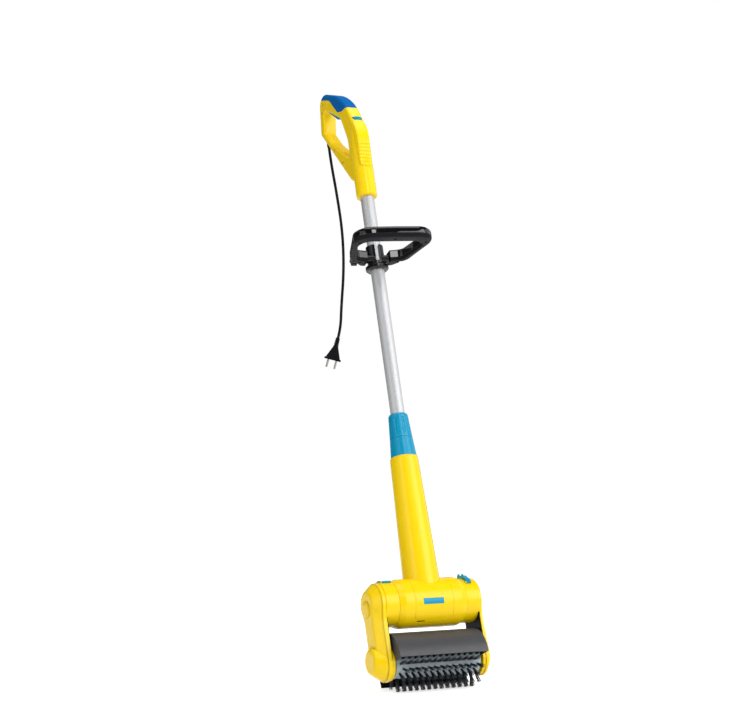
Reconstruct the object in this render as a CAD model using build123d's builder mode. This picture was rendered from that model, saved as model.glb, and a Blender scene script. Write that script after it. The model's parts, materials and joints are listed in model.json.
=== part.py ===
"""Electric surface brush: D-handle, telescopic pole, motor drum and roller head.

Every piece is modelled upright in the pole's own frame: X to the right, the front towards -Y and Z up
the pole, with the motor drum's axis along X through the origin. The finished pieces are leaned back
together, so that the roller stands on the floor and the world's origin lies under the roller's middle.
Sizes are in millimetres and degrees.
"""

import os
from math import atan2, cos, degrees, pi, radians, sin, tan

from build123d import *

os.makedirs("parts", exist_ok=True)

# Stance and fits
LEAN = 18.5  # the pole leans back
ROLLER_Y = -1.5  # roller axis, seen from the drum axis
ROLLER_Z = -119.5
TIP_R = 56.0  # bristle tips round the roller axis
RUN = 0.05  # radial running fit
FREE = 0.4  # space between pieces that move past each other
FAR = 400.0  # reach of cutting shapes

# Pole tube and the leads inside it
TUBE_R = 15.0
TUBE_WALL = 1.5
TUBE_BOTTOM = 270.0
TUBE_TOP = 1000.0
COIL_R = 11.0
COIL_BORE = 6.0
COIL_BOTTOM = 300.0
COIL_TOP = 560.0
COIL_PLUG = 12.0  # height of the rubber bung that holds the curly lead
LEAD_R = 3.0
LEAD_TOP = 315.0
LEAD_GROMMET_R = 6.0

# D-handle: side outline and finger loop as (y, z) corners with their bends
HANDLE_HALF = 16.0
HANDLE_ROUND = 6.8
HANDLE_WALL = 3.0
HANDLE_CORNERS = [(-19, 945), (36, 963), (166, 1141), (148, 1242), (24, 1170), (-24, 1058)]
HANDLE_BENDS = [11, 11, 14, 27, 200, 90]
LOOP_CORNERS = [(130, 1190), (52, 1127), (29, 1060), (29, 1016), (112, 1094), (144, 1136)]
LOOP_BENDS = [9, 34, 40, 7, 50, 9]
HANDLE_ROOM = [(-60, 1000), (28, 1000), (28, 1100), (122, 1165), (122, 1260), (-60, 1260)]  # hollow part
SOCKET_R = 22.8
SOCKET_BOTTOM = 906.0
SOCKET_WAIST = 975.0  # the round socket starts to narrow here
SOCKET_TOP = 1072.0
SOCKET_TOP_R = 17.0
SOCKET_EDGE = 2.5

# Soft grip: top strip of the handle, above a wavy edge given as (y, z) corners
GRIP_T = 2.0
GRIP_EDGE = [(175, 1238), (95, 1196), (59, 1146), (36, 1137), (-40, 1131)]
GRIP_BENDS = [26, 18, 14]

# Ribbed cover on the handle's front
COVER_T = 1.8
COVER_HALF = 15.0
COVER_BOTTOM = 974.0
COVER_TOP = 1093.0
COVER_BEND = 11.0
COVER_GROOVES = 6
GROOVE_PITCH = 8.5
GROOVE_LOW = 984.0
GROOVE_T = 1.6
GROOVE_DEPTH = 0.9

# Trigger, measured along the grip's underside from its rear end and out of it
TRIGGER_HALF = 7.0
TRIGGER_REAR = 10.0
TRIGGER_FRONT = 72.0
TRIGGER_IN = -9.0
TRIGGER_OUT = 8.0
TRIGGER_TOE = 3.0
TRIGGER_BEND = 4.0
TRIGGER_PLAY_REAR = 1.5
TRIGGER_PLAY_FRONT = 2.5
PIVOT_ALONG = 17.0
PIVOT_OUT = -4.0
PIVOT_R = 2.5
PIVOT_HALF = 14.5
SPRING_HALF = 2.6
SPRING_R = 4.4
SPRING_WIRE = 1.2
SWITCH_REAR = 32.0
SWITCH_FRONT = 64.0
SWITCH_IN = -36.0
SWITCH_OUT = -21.0
PLUNGER_R = 3.0
PLUNGER_ALONG = 59.0
PLUNGER_END = -15.0

# Speed wheel and its board
DIAL_R = 13.5
DIAL_T = 7.0
DIAL_Y = 2.0
DIAL_Z = 1094.5
DIAL_NOTCHES = 20
DIAL_NOTCH_R = 0.8
DIAL_AXLE_R = 3.0
BOARD_T = 2.0
BOARD_Z = 1082.0
BOARD_FRONT = -8.0
BOARD_REAR = 22.0

# Handle screws across the shells, as (y, z)
HANDLE_SCREWS = [(143, 1188), (104, 1074), (66, 1024), (131, 1204)]
SCREW_R = 2.0
SCREW_HEAD_R = 3.8
SCREW_HEAD_T = 2.2
SCREW_SINK = 1.6
SCREW_END = 11.0

# Cord gland, cord and plug; the route is given as (sideways, height) in the upright plane of the cord
GLAND_Y = 162.9
GLAND_Z = 1112.3
GLAND_LENGTH = 42.0
GLAND_TOP_R = 6.5
GLAND_END_R = 4.2
CORD_R = 3.25
CORD_TURN = 24.0  # plane of the cord, turned from the X axis
CORD_ROUTE = [
    (0, 0),
    (5, -38),
    (18.2, -109),
    (32, -199),
    (35, -289),
    (29, -373),
    (27.6, -421.5),
    (21.3, -446),
]
CORD_BEND_SHARE = 0.45
RELIEF_LENGTH = 22.0
RELIEF_TOP_R = 5.0
RELIEF_END_R = 6.2
RELIEF_GROOVES = 4
RELIEF_GROOVE_T = 1.5
PLUG_LENGTH = 26.0
PLUG_NECK_W = 13.0
PLUG_NECK_T = 11.0
PLUG_W = 34.0
PLUG_T = 14.0
FLANGE_W = 39.0
FLANGE_T = 16.0
FLANGE_H = 4.5
PIN_R = 2.4
PIN_LENGTH = 19.0
PIN_ROOT = 10.0
PIN_ROOT_R = 1.8
PIN_NECK = 0.8  # the thin root shows this much over the plug's face
PIN_PITCH = 19.0

# Auxiliary loop handle, as (sideways, forward) corners in its own tilted plane
AUX_Z = 755.0
AUX_TILT = -1.5
AUX_TURN = -7.5  # the clamp is turned on the tube
AUX_RISE = 3.0  # middle plane of the loop, over its hinge
AUX_OUTER = [(62, 165), (88, 137), (67, 27), (34, -10)]
AUX_OUTER_BENDS = [24, 26, 30, 12]
AUX_INNER = [(60, 134), (70, 102), (51, 30), (22, 24)]
AUX_INNER_BENDS = [12, 14, 14, 5]
AUX_HALF = 12.5
AUX_ROUND = 7.5
AUX_INNER_ROUND = 2.5
AUX_PARTING = -5.0
AUX_WALL = 3.5
AUX_CAVITY_REAR = 46.0
AUX_SLOT_HALF = 25.8
AUX_SLOT_FRONT = 34.0
AUX_SCREWS = [(0, 148), (73, 129), (-73, 129), (43, 17), (-43, 17)]
AUX_SCREW_R = 1.8
AUX_SCREW_HEAD_R = 3.2
AUX_SCREW_SINK = 3.0
AUX_SCREW_DEPTH = 14.0

# Clamp of the loop handle on the tube
SLEEVE_R = 19.0
SLEEVE_BOTTOM = 731.0
SLEEVE_TOP = 787.0
COLLAR_R = 25.0
COLLAR_T = 12.0
COLLAR_EDGE = 3.0
EAR_Y = -9.0
EAR_R = 9.0
EAR_HALF = 25.4
CLAMP_SLIT = 1.2
WINDOW_HALF = 5.0
WINDOW_BOTTOM = 750.0
BOLT_R = 3.5
BOLT_END = 18.0
TRUNNION_END = 40.0
KNOB_SEAT = 47.0  # flats on the loop's sides
KNOB_SEAT_R = 14.5
KNOB_T = 12.0
KNOB_R = 9.0
KNOB_LOBES = 5
KNOB_LOBE_R = 4.5
KNOB_EDGE = 1.5

# Neck
NECK_BOTTOM_R = 38.0
NECK_BOTTOM_Z = 50.0
NECK_TOP_R = 29.3
NECK_TOP_Z = 308.0
NECK_EDGE = 3.0
NECK_BORE_R = 24.0
NECK_WALL = 3.5
GUIDE_BOTTOM = 262.0
NECK_SCREWS = [(24.0, 110.0), (20.5, 225.0)]  # (x, z)
NECK_BOSS_R = 4.4
NECK_SCREW_R = 1.8
NECK_SCREW_HEAD_R = 3.4
NECK_SCREW_HEAD_T = 2.2
NECK_SCREW_SINK = 3.5
NECK_SCREW_END = -12.0

# Twist clamp
FERRULE_R = 27.3
SHOULDER_Z = 349.0
SHOULDER_R = 24.0
SPIGOT_R = 18.5
SPIGOT_TOP = 368.0
RING_TOP_R = 20.1
RING_TOP = 402.0
RING_EDGE = 3.5
RING_MOUTH_Z = 387.0
COLLET_TOP = 385.0
COLLET_R = 17.8
COLLET_TOP_R = 16.8
COLLET_SLIT = 0.8
FLUTES = 8
FLUTE_R = 4.0
FLUTE_DEPTH = 0.9
FLUTE_BOTTOM = 356.0
FLUTE_TOP = 392.0

# Motor drum
DRUM_R = 50.0
DRUM_HALF = 75.0
DRUM_SHOULDER = 12.0  # tapered ends of the drum
DRUM_FLAT = DRUM_HALF - DRUM_SHOULDER
DRUM_STEP = 4.0
DRUM_WALL = 2.0
PANEL_T = 2.5
DRUM_END_R = DRUM_R - DRUM_STEP
DRUM_BORE = DRUM_END_R - DRUM_WALL
PANEL_R = DRUM_R - PANEL_T  # seat of the neck's panels on the drum
PANEL_HALF = 42.0
PANEL_LOW = 50.0  # panels reach this far below the level of the axis
PANEL_BEND = 8.0
SEAM = 0.4
BADGE_X = -2.0
BADGE_HALF = 22.5
BADGE_ANGLE = 6.8
BADGE_H = 12.0
BADGE_T = 0.8
VENT_X = -26.7
VENT_HALF = 9.0
VENT_ANGLE = 56.5
VENT_H = 3.0

# Drum ends, which carry the head
CAP_DEPTH = 9.0
CAP_T = 6.0
CAP_IN = DRUM_HALF - CAP_DEPTH
CAP_OUT = CAP_IN + CAP_T
SEAT_STEP = 3.0
SEAT_WALL = 3.0
SPINDLE_SEAT_R = DRUM_BORE - SEAT_STEP
SEAT_END_GAP = 1.0
CAP_HOLLOW_R = SPINDLE_SEAT_R - SEAT_WALL
BEARING_R = 11.0
BEARING_W = 8.0
BEARING_FLOOR = 2.0
BEARING_OUT = CAP_OUT - BEARING_FLOOR
BEARING_IN = BEARING_OUT - BEARING_W
BEARING_BOSS_R = 15.0

# Motor
SHAFT_R = 4.0
SHAFT_TIP = 2.0  # the shaft passes the pulley by this much
SHAFT_END = 1.0  # and the right bearing by this much
SHAFT_RIGHT = BEARING_OUT + SHAFT_END
STATOR_SPACE = 37.0  # room for fan and commutator beside the stator
STATOR_HALF = DRUM_HALF - STATOR_SPACE
STATOR_BORE = 27.0
CORE_R = 26.0
CORE_STEP = 2.0  # the armature is shorter than the stator
CORE_HALF = STATOR_HALF - CORE_STEP
CORE_SLOTS = 12
CORE_SLOT_W = 2.6
CORE_SLOT_BOTTOM = 18.0
COMMUTATOR_R = 12.0
COMMUTATOR_SPACE = 6.0
COMMUTATOR_W = 15.0
COMMUTATOR_LEFT = CORE_HALF + COMMUTATOR_SPACE
COMMUTATOR_RIGHT = COMMUTATOR_LEFT + COMMUTATOR_W
HOLDER_W = 8.0
HOLDER_X = (COMMUTATOR_LEFT + COMMUTATOR_RIGHT) / 2
FAN_R = 36.0
FAN_SPACE = 11.0
FAN_DISC_T = 2.0
FAN_T = 10.0
FAN_LEFT = -(CORE_HALF + FAN_SPACE + FAN_T)
FAN_HUB_R = 9.0
FAN_BLADES = 9
FAN_BLADE_T = 1.6

# Head arms
SEAT_COLLAR_W = 29.0  # collars of the arms, which turn on the drum's ends
ARM_IN = DRUM_HALF + SEAT_COLLAR_W
SPINDLE_SEAT_END = ARM_IN - SEAT_END_GAP
ARM_TOP_R = 44.0
ARM_LOW_R = 35.0
ARM_WAIST_BEND = 60.0
SEAT_COLLAR_T = 4.5
SEAT_COLLAR_R = SPINDLE_SEAT_R + SEAT_COLLAR_T
SEAT_COLLAR_IN = DRUM_HALF + FREE
LEFT_RIM_W = 8.0
LEFT_CROWN = 18.0  # height of the left cover's flat over its rim
LEFT_RIM = ARM_IN + LEFT_RIM_W
LEFT_FLAT = LEFT_RIM + LEFT_CROWN
LEFT_INSET = 16.0
LEFT_EDGE = 6.0
RIGHT_RIM_W = 5.0
RIGHT_CROWN = 10.0
RIGHT_RIM = ARM_IN + RIGHT_RIM_W
RIGHT_FLAT = RIGHT_RIM + RIGHT_CROWN
RIGHT_INSET = 20.0
RIGHT_TILT = -5.0  # the outer face stands further out at the roller
RIGHT_EDGE = 6.0
CASE_FLOOR = 2.5
CASE_WALL = 3.0
SHAFT_HOLE_R = 10.0
BOSS_Z = -8.0
BOSS_R = 16.0
BOSS_H = 3.5
BOSS_OUT = LEFT_FLAT + BOSS_H
BOSS_EDGE = 3.0
BULGE_Y = -1.0
BULGE_Z = -111.0
BULGE_R = 25.0
BULGE_ROOT_R = 34.5
BULGE_H = 9.0
BULGE_OUT = LEFT_FLAT + BULGE_H
BULGE_EDGE = 8.0
POCKET_DEPTH = 9.0
POCKET_OUT = ARM_IN + POCKET_DEPTH
ARM_SCREWS = [(30.0, -14.0), (-30.0, -14.0), (27.5, -76.0)]  # (y, z)
ARM_BOSS_R = 3.6
ARM_SCREW_R = 1.6
ARM_SCREW_HEAD_R = 3.0
ARM_SCREW_HEAD_T = 1.5
ARM_SCREW_REACH = 12.0
ARM_SCREW_END = ARM_IN + ARM_SCREW_REACH
PAD_R = 33.0  # thick lower ends of the arms, beside the roller

# Belt drive in the left arm
PULLEY_SIDE = 6.5  # space between the arm's inner face and the pulleys
PULLEY_W = 7.0
PULLEY_RIGHT = -(ARM_IN + PULLEY_SIDE)
PULLEY_LEFT = PULLEY_RIGHT - PULLEY_W
SHAFT_LEFT = PULLEY_LEFT - SHAFT_TIP
DRIVE_R = 11.0
DRIVEN_R = 24.0
BELT_GAP = 0.3
BELT_T = 2.0
BELT_SIDE = 0.8

# Splash guard with its end walls, black plates above it and rear skirt
GUARD_SPACE = 2.5  # from the bristle tips to the guard
GUARD_SHELL = 2.5
GUARD_SIDE = 6.6  # from the guard's end walls to the arms
GUARD_IN_R = TIP_R + GUARD_SPACE
GUARD_R = GUARD_IN_R + GUARD_SHELL
GUARD_HALF = ARM_IN - GUARD_SIDE
GUARD_WALL = 2.0
GUARD_HOLE_R = 8.0
GUARD_FRONT = 4.0  # front edge, above the level of the roller axis
GUARD_REAR = 10.0  # rear edge, below it
PLATE_T = 2.0
PLATE_IN = ARM_IN - PLATE_T
PLATE_FRONT = -34.0
PLATE_REAR = 31.0
SKIRT_T = 3.0
SKIRT_SIDE = 2.4
SKIRT_HALF = GUARD_HALF - SKIRT_SIDE
SKIRT_SWEEP = 7.0  # the foot stands this far in from the guard
SKIRT_FOOT_Y = GUARD_R - SKIRT_SWEEP
SKIRT_FOOT_Z = -38.0
SKIRT_TOP_Z = 4.0

# Spindles and bearings of the roller
SPINDLE_R = 6.0
SPINDLE_DEPTH = 11.5  # reach of the spindles into the roller's core
STUB_REACH = 8.0
SPINDLE_LEFT = PULLEY_LEFT - SHAFT_TIP
STUB_RIGHT = ARM_IN + STUB_REACH
LOW_BEARING_R = 12.0
LOW_BOSS_R = 16.0
LOW_BEARING_W = 5.5
LOW_BEARING_OUT = ARM_IN + LOW_BEARING_W
BUSH_R = 10.0

# Latches on the collars, given as angles forward of the top
LATCH_SOLE = SEAT_COLLAR_R + FREE
RIGHT_LATCH_SIDE = 11.5  # from the arm's inner face
RIGHT_LATCH_W = 9.5
THUMB_W = 5.5  # wider rear end of the right latch
RIGHT_LATCH_OUT = ARM_IN - RIGHT_LATCH_SIDE
RIGHT_LATCH_IN = RIGHT_LATCH_OUT - RIGHT_LATCH_W
THUMB_OUT = RIGHT_LATCH_OUT + THUMB_W
THUMB_FRONT = 16.0
RIGHT_LATCH_T = 5.6
RIGHT_LATCH_R = LATCH_SOLE + RIGHT_LATCH_T
RIGHT_LATCH_REAR = -2.0
RIGHT_LATCH_FRONT = 50.0
LEFT_LATCH_SIDE = 5.0
LEFT_LATCH_W = 19.0
LEFT_LATCH_OUT = ARM_IN - LEFT_LATCH_SIDE
LEFT_LATCH_IN = LEFT_LATCH_OUT - LEFT_LATCH_W
LEFT_LATCH_T = 2.9
LEFT_LATCH_R = LATCH_SOLE + LEFT_LATCH_T
LEFT_LATCH_REAR = -4.0
LEFT_LATCH_FRONT = 26.0
LATCH_PIN_R = 1.4
LATCH_PIN_RISE = 1.9
LATCH_PIN_SEAT = LATCH_SOLE + LATCH_PIN_RISE
LATCH_LUG_T = 1.4
LATCH_LUG_R = 2.6
HORN_R = 2.6
HORN_H = 3.5
HORN_TIP = RIGHT_LATCH_R + HORN_H

# Roller
CORE_TUBE_R = 29.0
CORE_SIDE = 3.9  # from the core's ends to the guard's
CORE_TUBE_HALF = GUARD_HALF - CORE_SIDE
SPINDLE_RIGHT = -(CORE_TUBE_HALF - SPINDLE_DEPTH)
CORE_BORE = 22.0
CORE_END_T = 12.0
ROWS = 18
STRIP_W = 6.0
STRIP_BOTTOM = 25.0
STRIP_END = 2.0
STRIP_HALF = CORE_TUBE_HALF - STRIP_END
TUFT_PITCH = 13.7
TUFTS = int((STRIP_HALF - STRIP_END) * 2 / TUFT_PITCH)
STRAND = 2.0
STRAND_SPACING = 3.2
STRAND_ROOT = 27.5
STRAND_SPLAY = 3.0
TUFT_RAKE = 9.0

# Worked out from the sizes above
LEAN_COS = cos(radians(LEAN))
LEAN_SIN = sin(radians(LEAN))
STAND_Y = -(ROLLER_Y * LEAN_COS + ROLLER_Z * LEAN_SIN)
STAND_Z = TIP_R - (ROLLER_Z * LEAN_COS - ROLLER_Y * LEAN_SIN)
LEANING = Location((0, STAND_Y, STAND_Z), (-LEAN, 0, 0))
TURNED = LEANING * Location((0, 0, 0), (0, 0, AUX_TURN))
UPRIGHT = Location((0, 0, 0))
UPWARDS = (Align.CENTER, Align.CENTER, Align.MIN)
DOWNWARDS = (Align.CENTER, Align.CENTER, Align.MAX)
CAVITY_HALF = HANDLE_HALF - HANDLE_WALL
KNOB_RIGHT = -KNOB_SEAT - FREE
BOLT_LEFT = KNOB_RIGHT - KNOB_T
DOWN_IN_POLE = (0, LEAN_SIN, -LEAN_COS)
UNDER_REAR = LOOP_CORNERS[0]
UNDER_FRONT = LOOP_CORNERS[1]


def write(piece, name, place=LEANING):
    """Lean a finished piece back with the pole and save it under its name."""
    piece.part.label = name
    placed = piece.part.moved(place)
    placed.label = name
    export_step(placed, f"parts/{name}.step")


def leaned(y, z):
    """World height and depth of a point of the pole's frame."""
    return y * LEAN_COS + z * LEAN_SIN + STAND_Y, z * LEAN_COS - y * LEAN_SIN + STAND_Z


def rod(radius, start, end, y=0.0, z=0.0, mode=Mode.ADD):
    """Add or cut a round bar along X."""
    with BuildSketch(Plane.YZ.offset(start)) as face:
        with Locations((y, z)):
            Circle(radius)
    extrude(face.sketch, amount=end - start, mode=mode)


def post(radius, bottom, top, x=0.0, y=0.0, mode=Mode.ADD):
    """Add or cut a round bar along the pole."""
    with BuildSketch(Plane.XY.offset(bottom)) as face:
        with Locations((x, y)):
            Circle(radius)
    extrude(face.sketch, amount=top - bottom, mode=mode)


def turned(*outline, mode=Mode.ADD):
    """Turn an outline of (radius, height) corners round the pole."""
    with BuildSketch(Plane.XZ) as face:
        with BuildLine():
            Polyline(*outline, close=True)
        make_face()
    revolve(face.sketch, axis=Axis.Z, mode=mode)


def turned_across(*outline, y=0.0, z=0.0, mode=Mode.ADD):
    """Turn an outline of (x, radius) corners round the drum axis, or round an axis beside it."""
    with BuildSketch(Plane((0, y, z))) as face:
        with BuildLine():
            Polyline(*outline, close=True)
        make_face()
    revolve(face.sketch, axis=Axis((0, y, z), (1, 0, 0)), mode=mode)


def slab(half, *outline, mode=Mode.ADD):
    """Extrude an outline of (y, z) corners evenly to both sides."""
    with BuildSketch(Plane.YZ) as face:
        with BuildLine():
            Polyline(*outline, close=True)
        make_face()
    extrude(face.sketch, amount=half, both=True, mode=mode)


def block(half, front, rear, bottom, top, mode=Mode.ADD):
    """Add or cut a box that reaches evenly to both sides."""
    slab(half, (front, bottom), (rear, bottom), (rear, top), (front, top), mode=mode)


def under(along, out):
    """Point of the grip's underside, from its rear end forwards and out of the grip."""
    run_y = UNDER_FRONT[0] - UNDER_REAR[0]
    run_z = UNDER_FRONT[1] - UNDER_REAR[1]
    turn = atan2(run_z, run_y)
    y = UNDER_REAR[0] + along * cos(turn) - out * sin(turn)
    z = UNDER_REAR[1] + along * sin(turn) + out * cos(turn)
    return y, z


def around(radius, angle, y=0.0, z=0.0):
    """Point at an angle forward of the top, round an axis along X."""
    return y - radius * sin(radians(angle)), z + radius * cos(radians(angle))


def handle_form(grow):
    """The whole D-handle body, grown or shrunk evenly."""
    with BuildPart() as form:
        with BuildSketch(Plane.YZ):
            with BuildLine():
                FilletPolyline(*HANDLE_CORNERS, radius=HANDLE_BENDS, close=True)
            make_face()
            with BuildLine():
                FilletPolyline(*LOOP_CORNERS, radius=LOOP_BENDS, close=True)
            make_face(mode=Mode.SUBTRACT)
            if grow:
                offset(amount=grow)
        extrude(amount=HANDLE_HALF + grow, both=True)
        fillet(form.faces().filter_by(Axis.X).edges(), radius=HANDLE_ROUND + grow)
        turned(
            (0, SOCKET_BOTTOM),
            (SOCKET_R - SOCKET_EDGE + grow, SOCKET_BOTTOM),
            (SOCKET_R + grow, SOCKET_BOTTOM + SOCKET_EDGE),
            (SOCKET_R + grow, SOCKET_WAIST),
            (SOCKET_TOP_R + grow, SOCKET_TOP),
            (0, SOCKET_TOP),
        )
    return form.part


def arm_face(at, inset=0.0, tilt=0.0):
    """Outline of a head arm, on a plane across X or tilted from that."""
    run = (ROLLER_Y**2 + ROLLER_Z**2) ** 0.5
    side = (ARM_LOW_R * -ROLLER_Z / run, ARM_LOW_R * ROLLER_Y / run)
    with BuildSketch(Plane.YZ.offset(at).rotated((tilt, 0, 0))) as face:
        Circle(ARM_TOP_R)
        with Locations((ROLLER_Y, ROLLER_Z)):
            Circle(ARM_LOW_R)
        with BuildLine():
            Polyline(
                side,
                (ROLLER_Y + side[0], ROLLER_Z + side[1]),
                (ROLLER_Y - side[0], ROLLER_Z - side[1]),
                (-side[0], -side[1]),
                close=True,
            )
        make_face()
        waist = face.vertices().filter_by(lambda v: abs((v.X**2 + v.Y**2) ** 0.5 - ARM_TOP_R) < RUN)
        fillet(waist, radius=ARM_WAIST_BEND)
        if inset:
            offset(amount=-inset)
    return face.sketch


def closed_loop(corners, bends):
    """Full set of loop-handle corners from those of its right half, with their bends."""
    right = [(x, -forward) for x, forward in corners]
    left = [(-x, y) for x, y in reversed(right)]
    return right + left, bends + bends[::-1]


handle_outer = handle_form(0)
handle_inner = handle_form(-HANDLE_WALL)

# Pole
with BuildPart() as pole_tube:
    post(TUBE_R, TUBE_BOTTOM, TUBE_TOP)
    post(TUBE_R - TUBE_WALL, TUBE_BOTTOM, TUBE_TOP, mode=Mode.SUBTRACT)
write(pole_tube, "pole_tube")

with BuildPart() as curly_lead:
    post(COIL_R, COIL_BOTTOM, COIL_TOP)
    post(TUBE_R - TUBE_WALL, COIL_TOP, COIL_TOP + COIL_PLUG)
    post(COIL_BORE, COIL_BOTTOM, COIL_TOP, mode=Mode.SUBTRACT)
write(curly_lead, "curly_lead")

# Handle
with BuildPart() as soft_grip:
    add(handle_outer)
    add(handle_form(-GRIP_T), mode=Mode.SUBTRACT)
    with BuildSketch(Plane.YZ):
        with BuildLine():
            FilletPolyline(*GRIP_EDGE, radius=GRIP_BENDS)
            Polyline(GRIP_EDGE[-1], (GRIP_EDGE[-1][0], TUBE_TOP + FAR), GRIP_EDGE[0])
        make_face()
    extrude(amount=FAR, both=True, mode=Mode.INTERSECT)
write(soft_grip, "soft_grip")

with BuildPart() as cord_gland:
    with Locations(Plane((0, GLAND_Y, GLAND_Z), x_dir=(1, 0, 0), z_dir=DOWN_IN_POLE)):
        Cone(GLAND_TOP_R, GLAND_END_R, GLAND_LENGTH, align=DOWNWARDS)
write(cord_gland, "cord_gland")

with BuildPart() as handle_hollow:
    add(handle_inner)
    slab(FAR, *HANDLE_ROOM, mode=Mode.INTERSECT)
    slot_in = TRIGGER_IN + PIVOT_OUT
    slot = [
        under(TRIGGER_REAR - TRIGGER_PLAY_REAR, slot_in),
        under(TRIGGER_REAR - TRIGGER_PLAY_REAR, TRIGGER_OUT),
        under(TRIGGER_FRONT + TRIGGER_PLAY_FRONT, TRIGGER_OUT),
        under(TRIGGER_FRONT + TRIGGER_PLAY_FRONT, slot_in),
    ]
    slab(TRIGGER_HALF + FREE, *slot)
    post(DIAL_R + 2 * FREE, DIAL_Z - 2 * FREE, DIAL_Z + DIAL_T + 2 * FREE, y=DIAL_Y)
    post(TUBE_R, SOCKET_BOTTOM, TUBE_TOP)
    rod(PIVOT_R, -PIVOT_HALF, PIVOT_HALF, *under(PIVOT_ALONG, PIVOT_OUT))
    for y, z in HANDLE_SCREWS:
        rod(SCREW_R, -HANDLE_HALF, SCREW_END, y, z)
        rod(SCREW_HEAD_R, -HANDLE_HALF, -HANDLE_HALF + SCREW_SINK + SCREW_HEAD_T, y, z)
    add(cord_gland.part)

with BuildPart() as handle_shell_left:
    add(handle_outer)
    add(soft_grip.part, mode=Mode.SUBTRACT)
    add(handle_hollow.part, mode=Mode.SUBTRACT)
    split(bisect_by=Plane.YZ, keep=Keep.BOTTOM)
write(handle_shell_left, "handle_shell_left")

with BuildPart() as handle_shell_right:
    add(handle_outer)
    add(soft_grip.part, mode=Mode.SUBTRACT)
    add(handle_hollow.part, mode=Mode.SUBTRACT)
    split(bisect_by=Plane.YZ, keep=Keep.TOP)
write(handle_shell_right, "handle_shell_right")

cover_outer = handle_form(COVER_T)
with BuildPart() as cover_grooves:
    for k in range(COVER_GROOVES):
        with Locations((0, 0, GROOVE_LOW + k * GROOVE_PITCH)):
            Box(FAR, FAR, GROOVE_T)
    add(handle_form(COVER_T - GROOVE_DEPTH), mode=Mode.SUBTRACT)

with BuildPart() as front_cover:
    add(cover_outer)
    add(handle_outer, mode=Mode.SUBTRACT)
    with BuildSketch(Plane.XZ):
        with Locations((0, (COVER_BOTTOM + COVER_TOP) / 2)):
            RectangleRounded(2 * COVER_HALF, COVER_TOP - COVER_BOTTOM, COVER_BEND)
    extrude(amount=FAR, mode=Mode.INTERSECT)
    add(cover_grooves.part, mode=Mode.SUBTRACT)
write(front_cover, "front_cover")

with BuildPart() as handle_screws:
    for y, z in HANDLE_SCREWS:
        head = -HANDLE_HALF + SCREW_SINK
        rod(SCREW_HEAD_R, head, head + SCREW_HEAD_T, y, z)
        rod(SCREW_R, head, SCREW_END, y, z)
write(handle_screws, "handle_screws")

with BuildPart() as trigger:
    with BuildSketch(Plane.YZ):
        with BuildLine():
            FilletPolyline(
                under(TRIGGER_REAR, TRIGGER_IN),
                under(TRIGGER_REAR, TRIGGER_TOE),
                under(TRIGGER_FRONT, TRIGGER_OUT),
                under(TRIGGER_FRONT, TRIGGER_IN),
                radius=TRIGGER_BEND,
                close=True,
            )
        make_face()
    extrude(amount=TRIGGER_HALF, both=True)
    rod(PIVOT_R + RUN, -TRIGGER_HALF, TRIGGER_HALF, *under(PIVOT_ALONG, PIVOT_OUT), mode=Mode.SUBTRACT)
    spring_slot = [
        under(TRIGGER_REAR, TRIGGER_IN),
        under(TRIGGER_REAR, PIVOT_OUT + SPRING_R + FREE),
        under(SWITCH_REAR, PIVOT_OUT + SPRING_R + FREE),
        under(SWITCH_REAR, TRIGGER_IN),
    ]
    slab(SPRING_HALF + FREE, *spring_slot, mode=Mode.SUBTRACT)
write(trigger, "trigger")

with BuildPart() as trigger_pin:
    rod(PIVOT_R, -PIVOT_HALF, PIVOT_HALF, *under(PIVOT_ALONG, PIVOT_OUT))
write(trigger_pin, "trigger_pin")

with BuildPart() as trigger_spring:
    rod(SPRING_R, -SPRING_HALF, SPRING_HALF, *under(PIVOT_ALONG, PIVOT_OUT))
    leg = [
        under(PIVOT_ALONG, PIVOT_OUT),
        under(PIVOT_ALONG + SPRING_R, PIVOT_OUT),
        under(SWITCH_REAR + SPRING_R, SWITCH_OUT),
        under(SWITCH_REAR + SPRING_R - SPRING_WIRE, SWITCH_OUT),
    ]
    slab(SPRING_WIRE / 2, *leg)
    rod(PIVOT_R, -SPRING_HALF, SPRING_HALF, *under(PIVOT_ALONG, PIVOT_OUT), mode=Mode.SUBTRACT)
write(trigger_spring, "trigger_spring")

with BuildPart() as power_switch:
    switch_box = [
        under(SWITCH_REAR, SWITCH_OUT),
        under(SWITCH_FRONT, SWITCH_OUT),
        under(SWITCH_FRONT, SWITCH_IN),
        under(SWITCH_REAR, SWITCH_IN),
    ]
    slab(CAVITY_HALF, *switch_box)
    plunger = [
        under(PLUNGER_ALONG - PLUNGER_R, SWITCH_OUT),
        under(PLUNGER_ALONG + PLUNGER_R, SWITCH_OUT),
        under(PLUNGER_ALONG + PLUNGER_R, PLUNGER_END),
        under(PLUNGER_ALONG - PLUNGER_R, PLUNGER_END),
    ]
    slab(PLUNGER_R, *plunger)
    add(handle_inner, mode=Mode.INTERSECT)
write(power_switch, "power_switch")

with BuildPart() as speed_dial:
    post(DIAL_R, DIAL_Z, DIAL_Z + DIAL_T, y=DIAL_Y)
    post(DIAL_AXLE_R + RUN, DIAL_Z, DIAL_Z + DIAL_T, y=DIAL_Y, mode=Mode.SUBTRACT)
    for k in range(DIAL_NOTCHES):
        angle = 2 * pi * k / DIAL_NOTCHES
        notch = (DIAL_R * cos(angle), DIAL_Y + DIAL_R * sin(angle))
        post(DIAL_NOTCH_R, DIAL_Z, DIAL_Z + DIAL_T, *notch, mode=Mode.SUBTRACT)
write(speed_dial, "speed_dial")

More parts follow.
